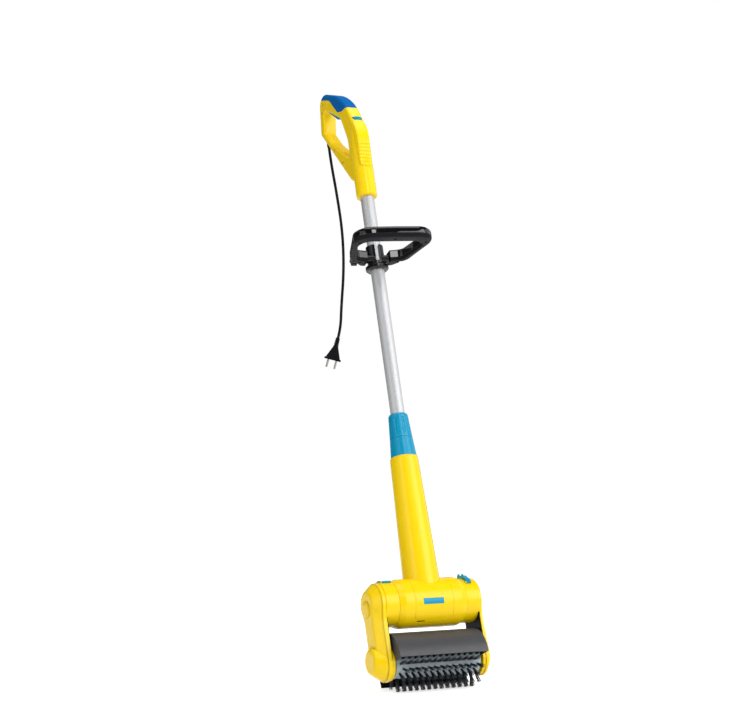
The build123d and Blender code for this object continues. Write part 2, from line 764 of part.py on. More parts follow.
with BuildPart() as speed_board:
    block(CAVITY_HALF, BOARD_FRONT, BOARD_REAR, BOARD_Z, BOARD_Z + BOARD_T)
    add(handle_inner, mode=Mode.INTERSECT)
    post(DIAL_AXLE_R, BOARD_Z, DIAL_Z + DIAL_T, y=DIAL_Y)
write(speed_board, "speed_board")

# Cord and plug, which hang upright
exit_y, exit_z = leaned(GLAND_Y, GLAND_Z)
cord_side = Vector(cos(radians(CORD_TURN)), -sin(radians(CORD_TURN)), 0)
cord_exit = Vector(0, exit_y, exit_z)
route_points = [cord_exit + cord_side * aside + Vector(0, 0, rise) for aside, rise in CORD_ROUTE]
runs = [b - a for a, b in zip(route_points, route_points[1:])]
bend_radii = []
for before, after in zip(runs, runs[1:]):
    half_turn = radians(before.get_angle(after)) / 2
    bend_radii.append(CORD_BEND_SHARE * min(before.length, after.length) / tan(half_turn))
with BuildLine() as cord_line:
    FilletPolyline(*route_points, radius=bend_radii)
with BuildPart() as power_cord:
    with BuildSketch(Plane(route_points[0], z_dir=runs[0])):
        Circle(CORD_R)
    sweep(path=cord_line.line)
write(power_cord, "power_cord", UPRIGHT)
cord_length = sum(edge.length for edge in cord_line.edges())
print("cord length", round(cord_length, 1), "bends", [round(r) for r in bend_radii])
print("cord volume share", round(power_cord.part.volume / (pi * CORD_R**2 * cord_length), 4))

plug_way = runs[-1].normalized()
plug_plane = Plane(route_points[-1], x_dir=plug_way.cross(cord_side.cross(plug_way)), z_dir=plug_way)
flange_start = RELIEF_LENGTH + PLUG_LENGTH
with BuildPart() as plug_pins:
    with BuildSketch(plug_plane.offset(flange_start - PIN_ROOT)):
        with GridLocations(PIN_PITCH, 0, 2, 1):
            Circle(PIN_ROOT_R)
    extrude(amount=PIN_ROOT + FLANGE_H + PIN_NECK)
    with BuildSketch(plug_plane.offset(flange_start + FLANGE_H + PIN_NECK)):
        with GridLocations(PIN_PITCH, 0, 2, 1):
            Circle(PIN_R)
    extrude(amount=PIN_LENGTH - PIN_NECK)
    tips = plug_pins.faces().filter_by(lambda face: face.normal_at().dot(plug_way) > 0.9)
    chamfer(tips.edges(), length=PIN_R / 4)
write(plug_pins, "plug_pins", UPRIGHT)

with BuildPart() as plug_body:
    with Locations(plug_plane):
        Cone(RELIEF_TOP_R, RELIEF_END_R, RELIEF_LENGTH, align=UPWARDS)
    groove_pitch = RELIEF_LENGTH / (RELIEF_GROOVES + 1)
    for k in range(RELIEF_GROOVES):
        with BuildSketch(plug_plane.offset(groove_pitch * (k + 1) - RELIEF_GROOVE_T)):
            Circle(RELIEF_END_R + RUN)
            Circle(RELIEF_TOP_R - RELIEF_GROOVE_T / 2, mode=Mode.SUBTRACT)
        extrude(amount=RELIEF_GROOVE_T, mode=Mode.SUBTRACT)
    with BuildSketch(plug_plane.offset(RELIEF_LENGTH)):
        RectangleRounded(PLUG_NECK_W, PLUG_NECK_T, PLUG_NECK_T / 3)
    with BuildSketch(plug_plane.offset(flange_start)):
        RectangleRounded(PLUG_W, PLUG_T, PLUG_T / 3)
    loft()
    with BuildSketch(plug_plane.offset(flange_start)):
        RectangleRounded(FLANGE_W, FLANGE_T, FLANGE_T / 3)
    extrude(amount=FLANGE_H)
    add(plug_pins.part, mode=Mode.SUBTRACT)
write(plug_body, "plug_body", UPRIGHT)

# Auxiliary loop handle
aux_plane = Plane(
    (0, 0, AUX_Z + AUX_RISE),
    x_dir=(1, 0, 0),
    z_dir=(0, sin(radians(AUX_TILT)), cos(radians(AUX_TILT))),
)
aux_outer_corners, aux_outer_bends = closed_loop(AUX_OUTER, AUX_OUTER_BENDS)
aux_inner_corners, aux_inner_bends = closed_loop(AUX_INNER, AUX_INNER_BENDS)


def aux_ring(height, inset):
    """Flat outline of the loop handle at a height over its middle plane."""
    with BuildSketch(aux_plane.offset(height)) as face:
        with BuildLine():
            FilletPolyline(*aux_outer_corners, radius=aux_outer_bends, close=True)
        make_face()
        with BuildLine():
            FilletPolyline(*aux_inner_corners, radius=aux_inner_bends, close=True)
        make_face(mode=Mode.SUBTRACT)
        if inset:
            offset(amount=-inset)
    return face.sketch


with BuildPart() as aux_bolt:
    rod(BOLT_R, BOLT_LEFT, -BOLT_END, EAR_Y, AUX_Z)
write(aux_bolt, "aux_bolt", TURNED)

with BuildPart() as aux_knob:
    with BuildSketch(Plane.YZ.offset(KNOB_RIGHT - KNOB_T)) as knob_face:
        with Locations((EAR_Y, AUX_Z)):
            Circle(KNOB_R)
            with PolarLocations(KNOB_R, KNOB_LOBES):
                Circle(KNOB_LOBE_R)
    extrude(amount=KNOB_T)
    fillet(aux_knob.faces().sort_by(Axis.X)[0].edges(), radius=KNOB_EDGE)
    rod(BOLT_R, BOLT_LEFT, KNOB_RIGHT, EAR_Y, AUX_Z, mode=Mode.SUBTRACT)
write(aux_knob, "aux_knob", TURNED)

with BuildPart() as aux_form:
    extrude(aux_ring(0, 0), amount=AUX_HALF, both=True)
    across = Axis(aux_plane.origin, aux_plane.z_dir)
    for flat in aux_form.faces().filter_by(across):
        fillet(flat.outer_wire().edges(), radius=AUX_ROUND)
    for flat in aux_form.faces().filter_by(across):
        fillet(flat.inner_wires()[0].edges(), radius=AUX_INNER_ROUND)
    with BuildSketch(aux_plane):
        with Locations((0, -AUX_SLOT_FRONT + FAR / 2)):
            Rectangle(2 * AUX_SLOT_HALF, FAR)
    extrude(amount=FAR, both=True, mode=Mode.SUBTRACT)
    rod(BOLT_R + RUN, -FAR, FAR, EAR_Y, AUX_Z, mode=Mode.SUBTRACT)
    for way in (-1, 1):
        rod(KNOB_SEAT_R, way * KNOB_SEAT, way * FAR, EAR_Y, AUX_Z, mode=Mode.SUBTRACT)

with BuildPart() as aux_hollow:
    extrude(aux_ring(0, AUX_WALL), amount=AUX_HALF - AUX_WALL, both=True)
    with BuildSketch(aux_plane):
        with Locations((0, -AUX_CAVITY_REAR - FAR / 2)):
            Rectangle(FAR, FAR)
    extrude(amount=FAR, both=True, mode=Mode.INTERSECT)
    with BuildSketch(aux_plane.offset(-AUX_HALF)):
        for x, forward in AUX_SCREWS:
            with Locations((x, -forward)):
                Circle(AUX_SCREW_HEAD_R + AUX_WALL / 2)
    extrude(amount=2 * AUX_HALF, mode=Mode.SUBTRACT)

with BuildPart() as aux_screws:
    with BuildSketch(aux_plane.offset(AUX_SCREW_SINK - AUX_HALF)):
        for x, forward in AUX_SCREWS:
            with Locations((x, -forward)):
                Circle(AUX_SCREW_R)
    extrude(amount=AUX_SCREW_DEPTH)
    with BuildSketch(aux_plane.offset(AUX_SCREW_SINK - AUX_HALF)):
        for x, forward in AUX_SCREWS:
            with Locations((x, -forward)):
                Circle(AUX_SCREW_HEAD_R)
    extrude(amount=SCREW_HEAD_T)
write(aux_screws, "aux_screws", TURNED)

with BuildPart() as aux_screw_holes:
    add(aux_screws.part)
    with BuildSketch(aux_plane.offset(-AUX_HALF)):
        for x, forward in AUX_SCREWS:
            with Locations((x, -forward)):
                Circle(AUX_SCREW_HEAD_R)
    extrude(amount=AUX_SCREW_SINK)

with BuildPart() as aux_loop_upper:
    add(aux_form.part)
    add(aux_hollow.part, mode=Mode.SUBTRACT)
    add(aux_screw_holes.part, mode=Mode.SUBTRACT)
    split(bisect_by=aux_plane.offset(AUX_PARTING), keep=Keep.TOP)
write(aux_loop_upper, "aux_loop_upper", TURNED)

with BuildPart() as aux_loop_lower:
    add(aux_form.part)
    add(aux_hollow.part, mode=Mode.SUBTRACT)
    add(aux_screw_holes.part, mode=Mode.SUBTRACT)
    split(bisect_by=aux_plane.offset(AUX_PARTING), keep=Keep.BOTTOM)
write(aux_loop_lower, "aux_loop_lower", TURNED)

with BuildPart() as aux_clamp:
    post(SLEEVE_R, SLEEVE_BOTTOM, SLEEVE_TOP)
    turned(
        (0, SLEEVE_BOTTOM),
        (COLLAR_R - COLLAR_EDGE, SLEEVE_BOTTOM),
        (COLLAR_R, SLEEVE_BOTTOM + COLLAR_EDGE),
        (COLLAR_R, SLEEVE_BOTTOM + COLLAR_T - COLLAR_EDGE),
        (COLLAR_R - COLLAR_EDGE, SLEEVE_BOTTOM + COLLAR_T),
        (0, SLEEVE_BOTTOM + COLLAR_T),
    )
    rod(EAR_R, -EAR_HALF, EAR_HALF, EAR_Y, AUX_Z)
    rod(BOLT_R, EAR_HALF, TRUNNION_END, EAR_Y, AUX_Z)
    post(TUBE_R + RUN, SLEEVE_BOTTOM, SLEEVE_TOP, mode=Mode.SUBTRACT)
    rod(BOLT_R + RUN, -EAR_HALF, -BOLT_END, EAR_Y, AUX_Z, mode=Mode.SUBTRACT)
    block(CLAMP_SLIT, 0, FAR, SLEEVE_BOTTOM, SLEEVE_TOP, mode=Mode.SUBTRACT)
    block(WINDOW_HALF, -FAR, 0, WINDOW_BOTTOM, SLEEVE_TOP, mode=Mode.SUBTRACT)
write(aux_clamp, "aux_clamp", TURNED)

# Neck and motor drum
panel_low = (cos(radians(PANEL_LOW)) * FAR, -sin(radians(PANEL_LOW)) * FAR)


def panel_form(half, low_seam):
    """Curved panel that wraps the drum's front, top and back."""
    with BuildPart() as form:
        rod(DRUM_R, -half, half)
        rod(PANEL_R, -half, half, mode=Mode.SUBTRACT)
        low_front = (-panel_low[0], panel_low[1] - low_seam)
        low_rear = (panel_low[0], panel_low[1] - low_seam)
        slab(FAR, (0, -low_seam), low_front, low_rear, mode=Mode.SUBTRACT)
        short = form.edges().filter_by(lambda edge: edge.length < 2 * (DRUM_R - PANEL_R))
        fillet(short, radius=PANEL_BEND)
    return form.part


neck_slope = (NECK_BOTTOM_R - NECK_TOP_R) / (NECK_TOP_Z - NECK_BOTTOM_Z)
with BuildPart() as neck_form:
    turned(
        (0, 0),
        (NECK_BOTTOM_R + neck_slope * NECK_BOTTOM_Z, 0),
        (NECK_TOP_R + neck_slope * NECK_EDGE, NECK_TOP_Z - NECK_EDGE),
        (NECK_TOP_R - NECK_EDGE / 2, NECK_TOP_Z),
        (0, NECK_TOP_Z),
    )
    add(panel_form(PANEL_HALF, 0))
    rod(PANEL_R, -FAR, FAR, mode=Mode.SUBTRACT)

with BuildPart() as neck_hollow:
    turned(
        (0, 0),
        (NECK_BOTTOM_R - NECK_WALL, 0),
        (NECK_BOTTOM_R - NECK_WALL, NECK_BOTTOM_Z),
        (NECK_BORE_R + NECK_WALL / 2, GUIDE_BOTTOM),
        (NECK_BORE_R, GUIDE_BOTTOM),
        (NECK_BORE_R, NECK_TOP_Z),
        (0, NECK_TOP_Z),
    )
    for x, z in NECK_SCREWS:
        with BuildSketch(Plane.XZ.offset(-FAR)):
            with Locations((x, z), (-x, z)):
                Circle(NECK_BOSS_R)
        extrude(amount=2 * FAR, mode=Mode.SUBTRACT)

with BuildPart() as neck_screws:
    for x, z in NECK_SCREWS:
        skin = ((NECK_BOTTOM_R - neck_slope * (z - NECK_BOTTOM_Z)) ** 2 - x**2) ** 0.5
        head = skin - NECK_SCREW_SINK
        with BuildSketch(Plane.XZ.offset(-head)):
            with Locations((x, z), (-x, z)):
                Circle(NECK_SCREW_HEAD_R)
        extrude(amount=NECK_SCREW_HEAD_T)
        with BuildSketch(Plane.XZ.offset(-head)):
            with Locations((x, z), (-x, z)):
                Circle(NECK_SCREW_R)
        extrude(amount=head - NECK_SCREW_END)
write(neck_screws, "neck_screws")

with BuildPart() as neck_screw_holes:
    add(neck_screws.part)
    for x, z in NECK_SCREWS:
        skin = ((NECK_BOTTOM_R - neck_slope * (z - NECK_BOTTOM_Z)) ** 2 - x**2) ** 0.5
        with BuildSketch(Plane.XZ.offset(-skin - NECK_SCREW_SINK)):
            with Locations((x, z), (-x, z)):
                Circle(NECK_SCREW_HEAD_R)
        extrude(amount=2 * NECK_SCREW_SINK)

with BuildPart() as badge_plate:
    badge_span = degrees(BADGE_H / DRUM_R) / 2
    rod(DRUM_R + BADGE_T / 2, BADGE_X - BADGE_HALF, BADGE_X + BADGE_HALF)
    rod(DRUM_R - BADGE_T / 2, BADGE_X - BADGE_HALF, BADGE_X + BADGE_HALF, mode=Mode.SUBTRACT)
    badge_top = around(FAR, 90 + BADGE_ANGLE - badge_span)
    badge_low = around(FAR, 90 + BADGE_ANGLE + badge_span)
    slab(FAR, (0, 0), badge_top, badge_low, mode=Mode.INTERSECT)
write(badge_plate, "badge_plate")

with BuildPart() as neck_front_shell:
    add(neck_form.part)
    add(neck_hollow.part, mode=Mode.SUBTRACT)
    add(neck_screw_holes.part, mode=Mode.SUBTRACT)
    add(badge_plate.part, mode=Mode.SUBTRACT)
    split(bisect_by=Plane.XZ, keep=Keep.TOP)
write(neck_front_shell, "neck_front_shell")

with BuildPart() as neck_back_shell:
    add(neck_form.part)
    add(neck_hollow.part, mode=Mode.SUBTRACT)
    add(neck_screw_holes.part, mode=Mode.SUBTRACT)
    split(bisect_by=Plane.XZ, keep=Keep.BOTTOM)
write(neck_back_shell, "neck_back_shell")

with BuildPart() as guide_sleeve:
    post(NECK_BORE_R, GUIDE_BOTTOM, NECK_TOP_Z)
    post(TUBE_R + RUN, GUIDE_BOTTOM, NECK_TOP_Z, mode=Mode.SUBTRACT)
write(guide_sleeve, "guide_sleeve")

with BuildPart() as clamp_ferrule:
    turned(
        (TUBE_R + FREE, NECK_TOP_Z),
        (FERRULE_R, NECK_TOP_Z),
        (SHOULDER_R, SHOULDER_Z),
        (SPIGOT_R, SHOULDER_Z),
        (SPIGOT_R, SPIGOT_TOP),
        (TUBE_R + FREE, SPIGOT_TOP),
    )
write(clamp_ferrule, "clamp_ferrule")

with BuildPart() as clamp_collet:
    turned(
        (TUBE_R + RUN, SPIGOT_TOP),
        (COLLET_R, SPIGOT_TOP),
        (COLLET_TOP_R, COLLET_TOP),
        (TUBE_R + RUN, COLLET_TOP),
    )
    block(COLLET_SLIT, 0, FAR, SPIGOT_TOP, COLLET_TOP, mode=Mode.SUBTRACT)
write(clamp_collet, "clamp_collet")

with BuildPart() as clamp_ring:
    turned(
        (SPIGOT_R + RUN, SHOULDER_Z + FREE),
        (SHOULDER_R, SHOULDER_Z + FREE),
        (RING_TOP_R + RING_EDGE / 6, RING_TOP - RING_EDGE),
        (RING_TOP_R - RING_EDGE / 2, RING_TOP),
        (TUBE_R + FREE, RING_TOP),
        (TUBE_R + FREE, RING_MOUTH_Z + RING_EDGE),
        (SPIGOT_R + RUN, RING_MOUTH_Z),
    )
    flute_lean = degrees(atan2(SHOULDER_R - RING_TOP_R, RING_TOP - SHOULDER_Z))
    for k in range(FLUTES):
        middle_r = (SHOULDER_R + RING_TOP_R) / 2 + FLUTE_R - FLUTE_DEPTH
        flute = Location((0, 0, (FLUTE_BOTTOM + FLUTE_TOP) / 2), (0, 0, 360 * k / FLUTES))
        with Locations(flute * Location((middle_r, 0, 0), (0, -flute_lean, 0))):
            Cylinder(FLUTE_R, FLUTE_TOP - FLUTE_BOTTOM, mode=Mode.SUBTRACT)
write(clamp_ring, "clamp_ring")

with BuildPart() as motor_barrel:
    turned_across(
        (-DRUM_HALF, DRUM_BORE),
        (-DRUM_HALF, DRUM_END_R),
        (-DRUM_FLAT, DRUM_R),
        (DRUM_FLAT, DRUM_R),
        (DRUM_HALF, DRUM_END_R),
        (DRUM_HALF, DRUM_BORE),
    )
    add(panel_form(PANEL_HALF + SEAM, SEAM), mode=Mode.SUBTRACT)
    post(LEAD_GROMMET_R, 0, DRUM_R, mode=Mode.SUBTRACT)
    vent_y, vent_z = around(DRUM_R, 90 + VENT_ANGLE)
    with Locations(Location((VENT_X, vent_y, vent_z), (VENT_ANGLE, 0, 0))):
        Box(2 * VENT_HALF, DRUM_R - DRUM_BORE + VENT_H, VENT_H, mode=Mode.SUBTRACT)
write(motor_barrel, "motor_barrel")

with BuildPart() as motor_lead:
    post(LEAD_GROMMET_R, DRUM_BORE - VENT_H, PANEL_R)
    rod(DRUM_BORE, -DRUM_HALF, DRUM_HALF, mode=Mode.SUBTRACT)
    post(LEAD_R, DRUM_BORE, LEAD_TOP)
write(motor_lead, "motor_lead")

with BuildPart() as drum_ends:
    for side in (-1, 1):
        turned_across(
            (side * BEARING_IN, BEARING_R),
            (side * BEARING_IN, BEARING_BOSS_R),
            (side * CAP_IN, BEARING_BOSS_R),
            (side * CAP_IN, DRUM_BORE),
            (side * DRUM_HALF, DRUM_BORE),
            (side * DRUM_HALF, SPINDLE_SEAT_R),
            (side * SPINDLE_SEAT_END, SPINDLE_SEAT_R),
            (side * SPINDLE_SEAT_END, CAP_HOLLOW_R),
            (side * CAP_OUT, CAP_HOLLOW_R),
            (side * CAP_OUT, BEARING_R),
        )
write(drum_ends, "drum_ends")

# Motor
with BuildPart() as motor_bearings:
    for side in (-1, 1):
        rod(BEARING_R, side * BEARING_IN, side * BEARING_OUT)
        rod(SHAFT_R + RUN, side * BEARING_IN, side * BEARING_OUT, mode=Mode.SUBTRACT)
write(motor_bearings, "motor_bearings")

with BuildPart() as motor_stator:
    rod(DRUM_BORE, -STATOR_HALF, STATOR_HALF)
    rod(STATOR_BORE, -STATOR_HALF, STATOR_HALF, mode=Mode.SUBTRACT)
write(motor_stator, "motor_stator")

with BuildPart() as brush_holders:
    rod(DRUM_BORE, HOLDER_X - HOLDER_W / 2, HOLDER_X + HOLDER_W / 2)
    rod(COMMUTATOR_R + FREE, HOLDER_X - HOLDER_W / 2, HOLDER_X + HOLDER_W / 2, mode=Mode.SUBTRACT)
    block(FAR, -FAR, FAR, -HOLDER_W / 2, HOLDER_W / 2, mode=Mode.INTERSECT)
write(brush_holders, "brush_holders")

with BuildPart() as motor_shaft:
    rod(SHAFT_R, SHAFT_LEFT, SHAFT_RIGHT)
write(motor_shaft, "motor_shaft")

with BuildPart() as armature_core:
    rod(CORE_R, -CORE_HALF, CORE_HALF)
    rod(SHAFT_R, -CORE_HALF, CORE_HALF, mode=Mode.SUBTRACT)
    for k in range(CORE_SLOTS):
        with Locations(Location((0, 0, 0), (360 * k / CORE_SLOTS, 0, 0)) * Location((0, 0, CORE_R))):
            Box(2 * CORE_HALF, CORE_SLOT_W, 2 * (CORE_R - CORE_SLOT_BOTTOM), mode=Mode.SUBTRACT)
write(armature_core, "armature_core")

with BuildPart() as commutator:
    rod(COMMUTATOR_R, COMMUTATOR_LEFT, COMMUTATOR_RIGHT)
    rod(SHAFT_R, COMMUTATOR_LEFT, COMMUTATOR_RIGHT, mode=Mode.SUBTRACT)
write(commutator, "commutator")

with BuildPart() as cooling_fan:
    rod(FAN_R, FAN_LEFT, FAN_LEFT + FAN_DISC_T)
    rod(FAN_HUB_R, FAN_LEFT, FAN_LEFT + FAN_T)
    for k in range(FAN_BLADES):
        blade = Location((FAN_LEFT + FAN_T / 2, 0, 0), (360 * k / FAN_BLADES, 0, 0))
        with Locations(blade * Location((0, 0, (FAN_HUB_R + FAN_R) / 2 - FAN_BLADE_T))):
            Box(FAN_T, FAN_BLADE_T, FAN_R - FAN_HUB_R)
    rod(SHAFT_R, FAN_LEFT, FAN_LEFT + FAN_T, mode=Mode.SUBTRACT)
write(cooling_fan, "cooling_fan")

with BuildPart() as drive_pulley:
    rod(DRIVE_R, PULLEY_LEFT, PULLEY_RIGHT)
    rod(SHAFT_R, PULLEY_LEFT, PULLEY_RIGHT, mode=Mode.SUBTRACT)
write(drive_pulley, "drive_pulley")

# Head
with BuildPart() as roller_bearings:
    rod(LOW_BEARING_R, -LOW_BEARING_OUT, -ARM_IN, ROLLER_Y, ROLLER_Z)
    rod(BUSH_R, ARM_IN, POCKET_OUT, ROLLER_Y, ROLLER_Z)
    rod(SPINDLE_R + RUN, -FAR, FAR, ROLLER_Y, ROLLER_Z, mode=Mode.SUBTRACT)
write(roller_bearings, "roller_bearings")

with BuildPart() as arm_screws:
    for y, z in ARM_SCREWS:
        rod(ARM_SCREW_HEAD_R, -ARM_IN - ARM_SCREW_HEAD_T, -ARM_IN, y, z)
        rod(ARM_SCREW_R, -ARM_SCREW_END, -ARM_IN, y, z)
write(arm_screws, "arm_screws")

latch_lugs = [
    (RIGHT_LATCH_IN, RIGHT_LATCH_OUT, RIGHT_LATCH_FRONT),
    (-LEFT_LATCH_OUT, -LEFT_LATCH_IN, LEFT_LATCH_FRONT),
]
with BuildPart() as latch_pins:
    for start, end, angle in latch_lugs:
        rod(LATCH_PIN_R, start - LATCH_LUG_T, end + LATCH_LUG_T, *around(LATCH_PIN_SEAT, angle))
write(latch_pins, "latch_pins")


def latch_seat(start, end, angle):
    """Add the two small lugs that hold a latch pin on a collar."""
    pin = around(LATCH_PIN_SEAT, angle)
    foot = around(SEAT_COLLAR_R - LATCH_LUG_R, angle)
    for edge, way in ((start, -1), (end, 1)):
        inner = edge + way * FREE
        outer = edge + way * LATCH_LUG_T
        rod(LATCH_LUG_R, inner, outer, *pin)
        rod(LATCH_LUG_R, inner, outer, *foot)
    rod(LATCH_PIN_R, start - LATCH_LUG_T, end + LATCH_LUG_T, *pin, mode=Mode.SUBTRACT)


with BuildPart() as left_arm_case:
    extrude(arm_face(-LEFT_RIM), amount=LEFT_RIM - ARM_IN)
    extrude(arm_face(-LEFT_RIM, CASE_WALL), amount=LEFT_RIM - ARM_IN - CASE_FLOOR, mode=Mode.SUBTRACT)
    rod(LOW_BOSS_R, -LOW_BEARING_OUT, -ARM_IN, ROLLER_Y, ROLLER_Z)
    rod(PAD_R, -ARM_IN, -GUARD_HALF, ROLLER_Y, ROLLER_Z)
    rod(SEAT_COLLAR_R, -ARM_IN, -SEAT_COLLAR_IN)
    latch_seat(*latch_lugs[1])
    rod(SPINDLE_SEAT_R + RUN, -ARM_IN, 0, mode=Mode.SUBTRACT)
    rod(SHAFT_HOLE_R, -LEFT_RIM, 0, mode=Mode.SUBTRACT)
    add(roller_bearings.part, mode=Mode.SUBTRACT)
    rod(SPINDLE_R + RUN, -LEFT_RIM, 0, ROLLER_Y, ROLLER_Z, mode=Mode.SUBTRACT)
    add(arm_screws.part, mode=Mode.SUBTRACT)
write(left_arm_case, "left_arm_case")

with BuildPart() as left_cover_hollow:
    loft([arm_face(-LEFT_RIM, CASE_WALL), arm_face(CASE_WALL - LEFT_FLAT, LEFT_INSET + CASE_WALL / 3)])
    with BuildSketch(Plane.YZ.offset(-LEFT_RIM)):
        with Locations((ROLLER_Y, ROLLER_Z)):
            Circle(BULGE_ROOT_R - CASE_WALL)
    with BuildSketch(Plane.YZ.offset(CASE_WALL - BULGE_OUT)):
        with Locations((BULGE_Y, BULGE_Z)):
            Circle(BULGE_R - 2 * CASE_WALL)
    loft()
    for y, z in ARM_SCREWS:
        rod(ARM_BOSS_R, -FAR, 0, y, z, mode=Mode.SUBTRACT)

with BuildPart() as arm_bulge:
    with BuildSketch(Plane.YZ.offset(-LEFT_RIM)):
        with Locations((ROLLER_Y, ROLLER_Z)):
            Circle(BULGE_ROOT_R)
    with BuildSketch(Plane.YZ.offset(-BULGE_OUT)):
        with Locations((BULGE_Y, BULGE_Z)):
            Circle(BULGE_R)
    loft()
    fillet(arm_bulge.faces().sort_by(Axis.X)[0].edges(), radius=BULGE_EDGE)

with BuildPart() as left_arm_cover:
    loft([arm_face(-LEFT_RIM), arm_face(-LEFT_FLAT, LEFT_INSET)])
    fillet(left_arm_cover.faces().sort_by(Axis.X)[0].edges(), radius=LEFT_EDGE)
    rod(BOSS_R, -BOSS_OUT, -LEFT_RIM, z=BOSS_Z)
    fillet(left_arm_cover.faces().sort_by(Axis.X)[0].edges(), radius=BOSS_EDGE)
    add(arm_bulge.part)
    add(left_cover_hollow.part, mode=Mode.SUBTRACT)
    for y, z in ARM_SCREWS:
        rod(ARM_BOSS_R, -LEFT_RIM, -ARM_IN - CASE_FLOOR, y, z)
    add(arm_screws.part, mode=Mode.SUBTRACT)
write(left_arm_cover, "left_arm_cover")

with BuildPart() as right_arm:
    extrude(arm_face(ARM_IN), amount=RIGHT_RIM - ARM_IN)
    loft([arm_face(RIGHT_RIM), arm_face(RIGHT_FLAT, RIGHT_INSET, RIGHT_TILT)])
    fillet(right_arm.faces().sort_by(Axis.X)[-1].edges(), radius=RIGHT_EDGE)
    extrude(arm_face(ARM_IN, CASE_WALL), amount=RIGHT_RIM - ARM_IN, mode=Mode.SUBTRACT)
    rod(PAD_R, GUARD_HALF, RIGHT_RIM, ROLLER_Y, ROLLER_Z)
    rod(SEAT_COLLAR_R, SEAT_COLLAR_IN, ARM_IN + CASE_FLOOR)
    latch_seat(*latch_lugs[0])
    rod(SPINDLE_SEAT_R + RUN, 0, ARM_IN, mode=Mode.SUBTRACT)
    rod(SPINDLE_R + RUN, 0, ARM_IN, ROLLER_Y, ROLLER_Z, mode=Mode.SUBTRACT)
    rod(BUSH_R, ARM_IN, POCKET_OUT, ROLLER_Y, ROLLER_Z, mode=Mode.SUBTRACT)
write(right_arm, "right_arm")

guard_front = around(FAR, 90 - GUARD_FRONT, ROLLER_Y, ROLLER_Z)
guard_rear = around(FAR, -90 - GUARD_REAR, ROLLER_Y, ROLLER_Z)
below_guard = [
    (ROLLER_Y, ROLLER_Z),
    guard_front,
    (guard_front[0], ROLLER_Z - FAR),
    (guard_rear[0], ROLLER_Z - FAR),
    guard_rear,
]
with BuildPart() as end_plates:
    for side in (-1, 1):
        with BuildSketch(Plane.YZ.offset(side * PLATE_IN)):
            with BuildLine():
                Polyline(
                    (PLATE_FRONT, ROLLER_Z),
                    (PLATE_FRONT, 0),
                    (PLATE_REAR, 0),
                    (PLATE_REAR, ROLLER_Z),
                    close=True,
                )
            make_face()
            Circle(SEAT_COLLAR_R, mode=Mode.SUBTRACT)
            with Locations((ROLLER_Y, ROLLER_Z)):
                Circle(PAD_R, mode=Mode.SUBTRACT)
        extrude(amount=side * (ARM_IN - PLATE_IN))
write(end_plates, "end_plates")

with BuildPart() as splash_guard:
    inside = GUARD_HALF - GUARD_WALL
    rod(GUARD_R, -GUARD_HALF, GUARD_HALF, ROLLER_Y, ROLLER_Z)
    rod(GUARD_IN_R, -inside, inside, ROLLER_Y, ROLLER_Z, mode=Mode.SUBTRACT)
    rod(GUARD_HOLE_R, -FAR, FAR, ROLLER_Y, ROLLER_Z, mode=Mode.SUBTRACT)
    slab(FAR, *below_guard, mode=Mode.SUBTRACT)
write(splash_guard, "splash_guard")

with BuildPart() as rear_skirt:
    skirt = [
        (ROLLER_Y + GUARD_R, ROLLER_Z + SKIRT_TOP_Z),
        (ROLLER_Y + GUARD_R + SKIRT_T, ROLLER_Z + SKIRT_TOP_Z),
        (ROLLER_Y + SKIRT_FOOT_Y + SKIRT_T, ROLLER_Z + SKIRT_FOOT_Z),
        (ROLLER_Y + SKIRT_FOOT_Y, ROLLER_Z + SKIRT_FOOT_Z),
    ]
    slab(SKIRT_HALF, *skirt)
    add(splash_guard.part, mode=Mode.SUBTRACT)
write(rear_skirt, "rear_skirt")

with BuildPart() as drive_belt:
    belt_left = PULLEY_LEFT + BELT_SIDE
    belt_right = PULLEY_RIGHT - BELT_SIDE
    with BuildSketch(Plane.YZ.offset(belt_left)):
        with BuildSketch(mode=Mode.ADD) as belt_outside:
            Circle(DRIVE_R + BELT_GAP + BELT_T)
            with Locations((ROLLER_Y, ROLLER_Z)):
                Circle(DRIVEN_R + BELT_GAP + BELT_T)
            make_hull()
        with BuildSketch(mode=Mode.SUBTRACT) as belt_inside:
            Circle(DRIVE_R + BELT_GAP)
            with Locations((ROLLER_Y, ROLLER_Z)):
                Circle(DRIVEN_R + BELT_GAP)
            make_hull()
    extrude(amount=belt_right - belt_left)
write(drive_belt, "drive_belt")


def latch_form(start, end, radius, rear, front):
    """Add a latch that hugs a collar between two angles forward of the top."""
    rod(radius, start, end)
    rod(LATCH_SOLE, start, end, mode=Mode.SUBTRACT)
    slab(FAR, (0, 0), around(FAR, rear), around(FAR, front), mode=Mode.INTERSECT)
    pin = around(LATCH_PIN_SEAT, front)
    rod(LATCH_LUG_R - FREE, start, end, *pin)
    rod(LATCH_SOLE, start, end, mode=Mode.SUBTRACT)
    rod(LATCH_PIN_R + RUN, start, end, *pin, mode=Mode.SUBTRACT)


with BuildPart() as thumb_pad:
    rod(RIGHT_LATCH_R, RIGHT_LATCH_IN, THUMB_OUT)
    rod(LATCH_SOLE, RIGHT_LATCH_IN, THUMB_OUT, mode=Mode.SUBTRACT)
    slab(FAR, (0, 0), around(FAR, RIGHT_LATCH_REAR), around(FAR, THUMB_FRONT), mode=Mode.INTERSECT)

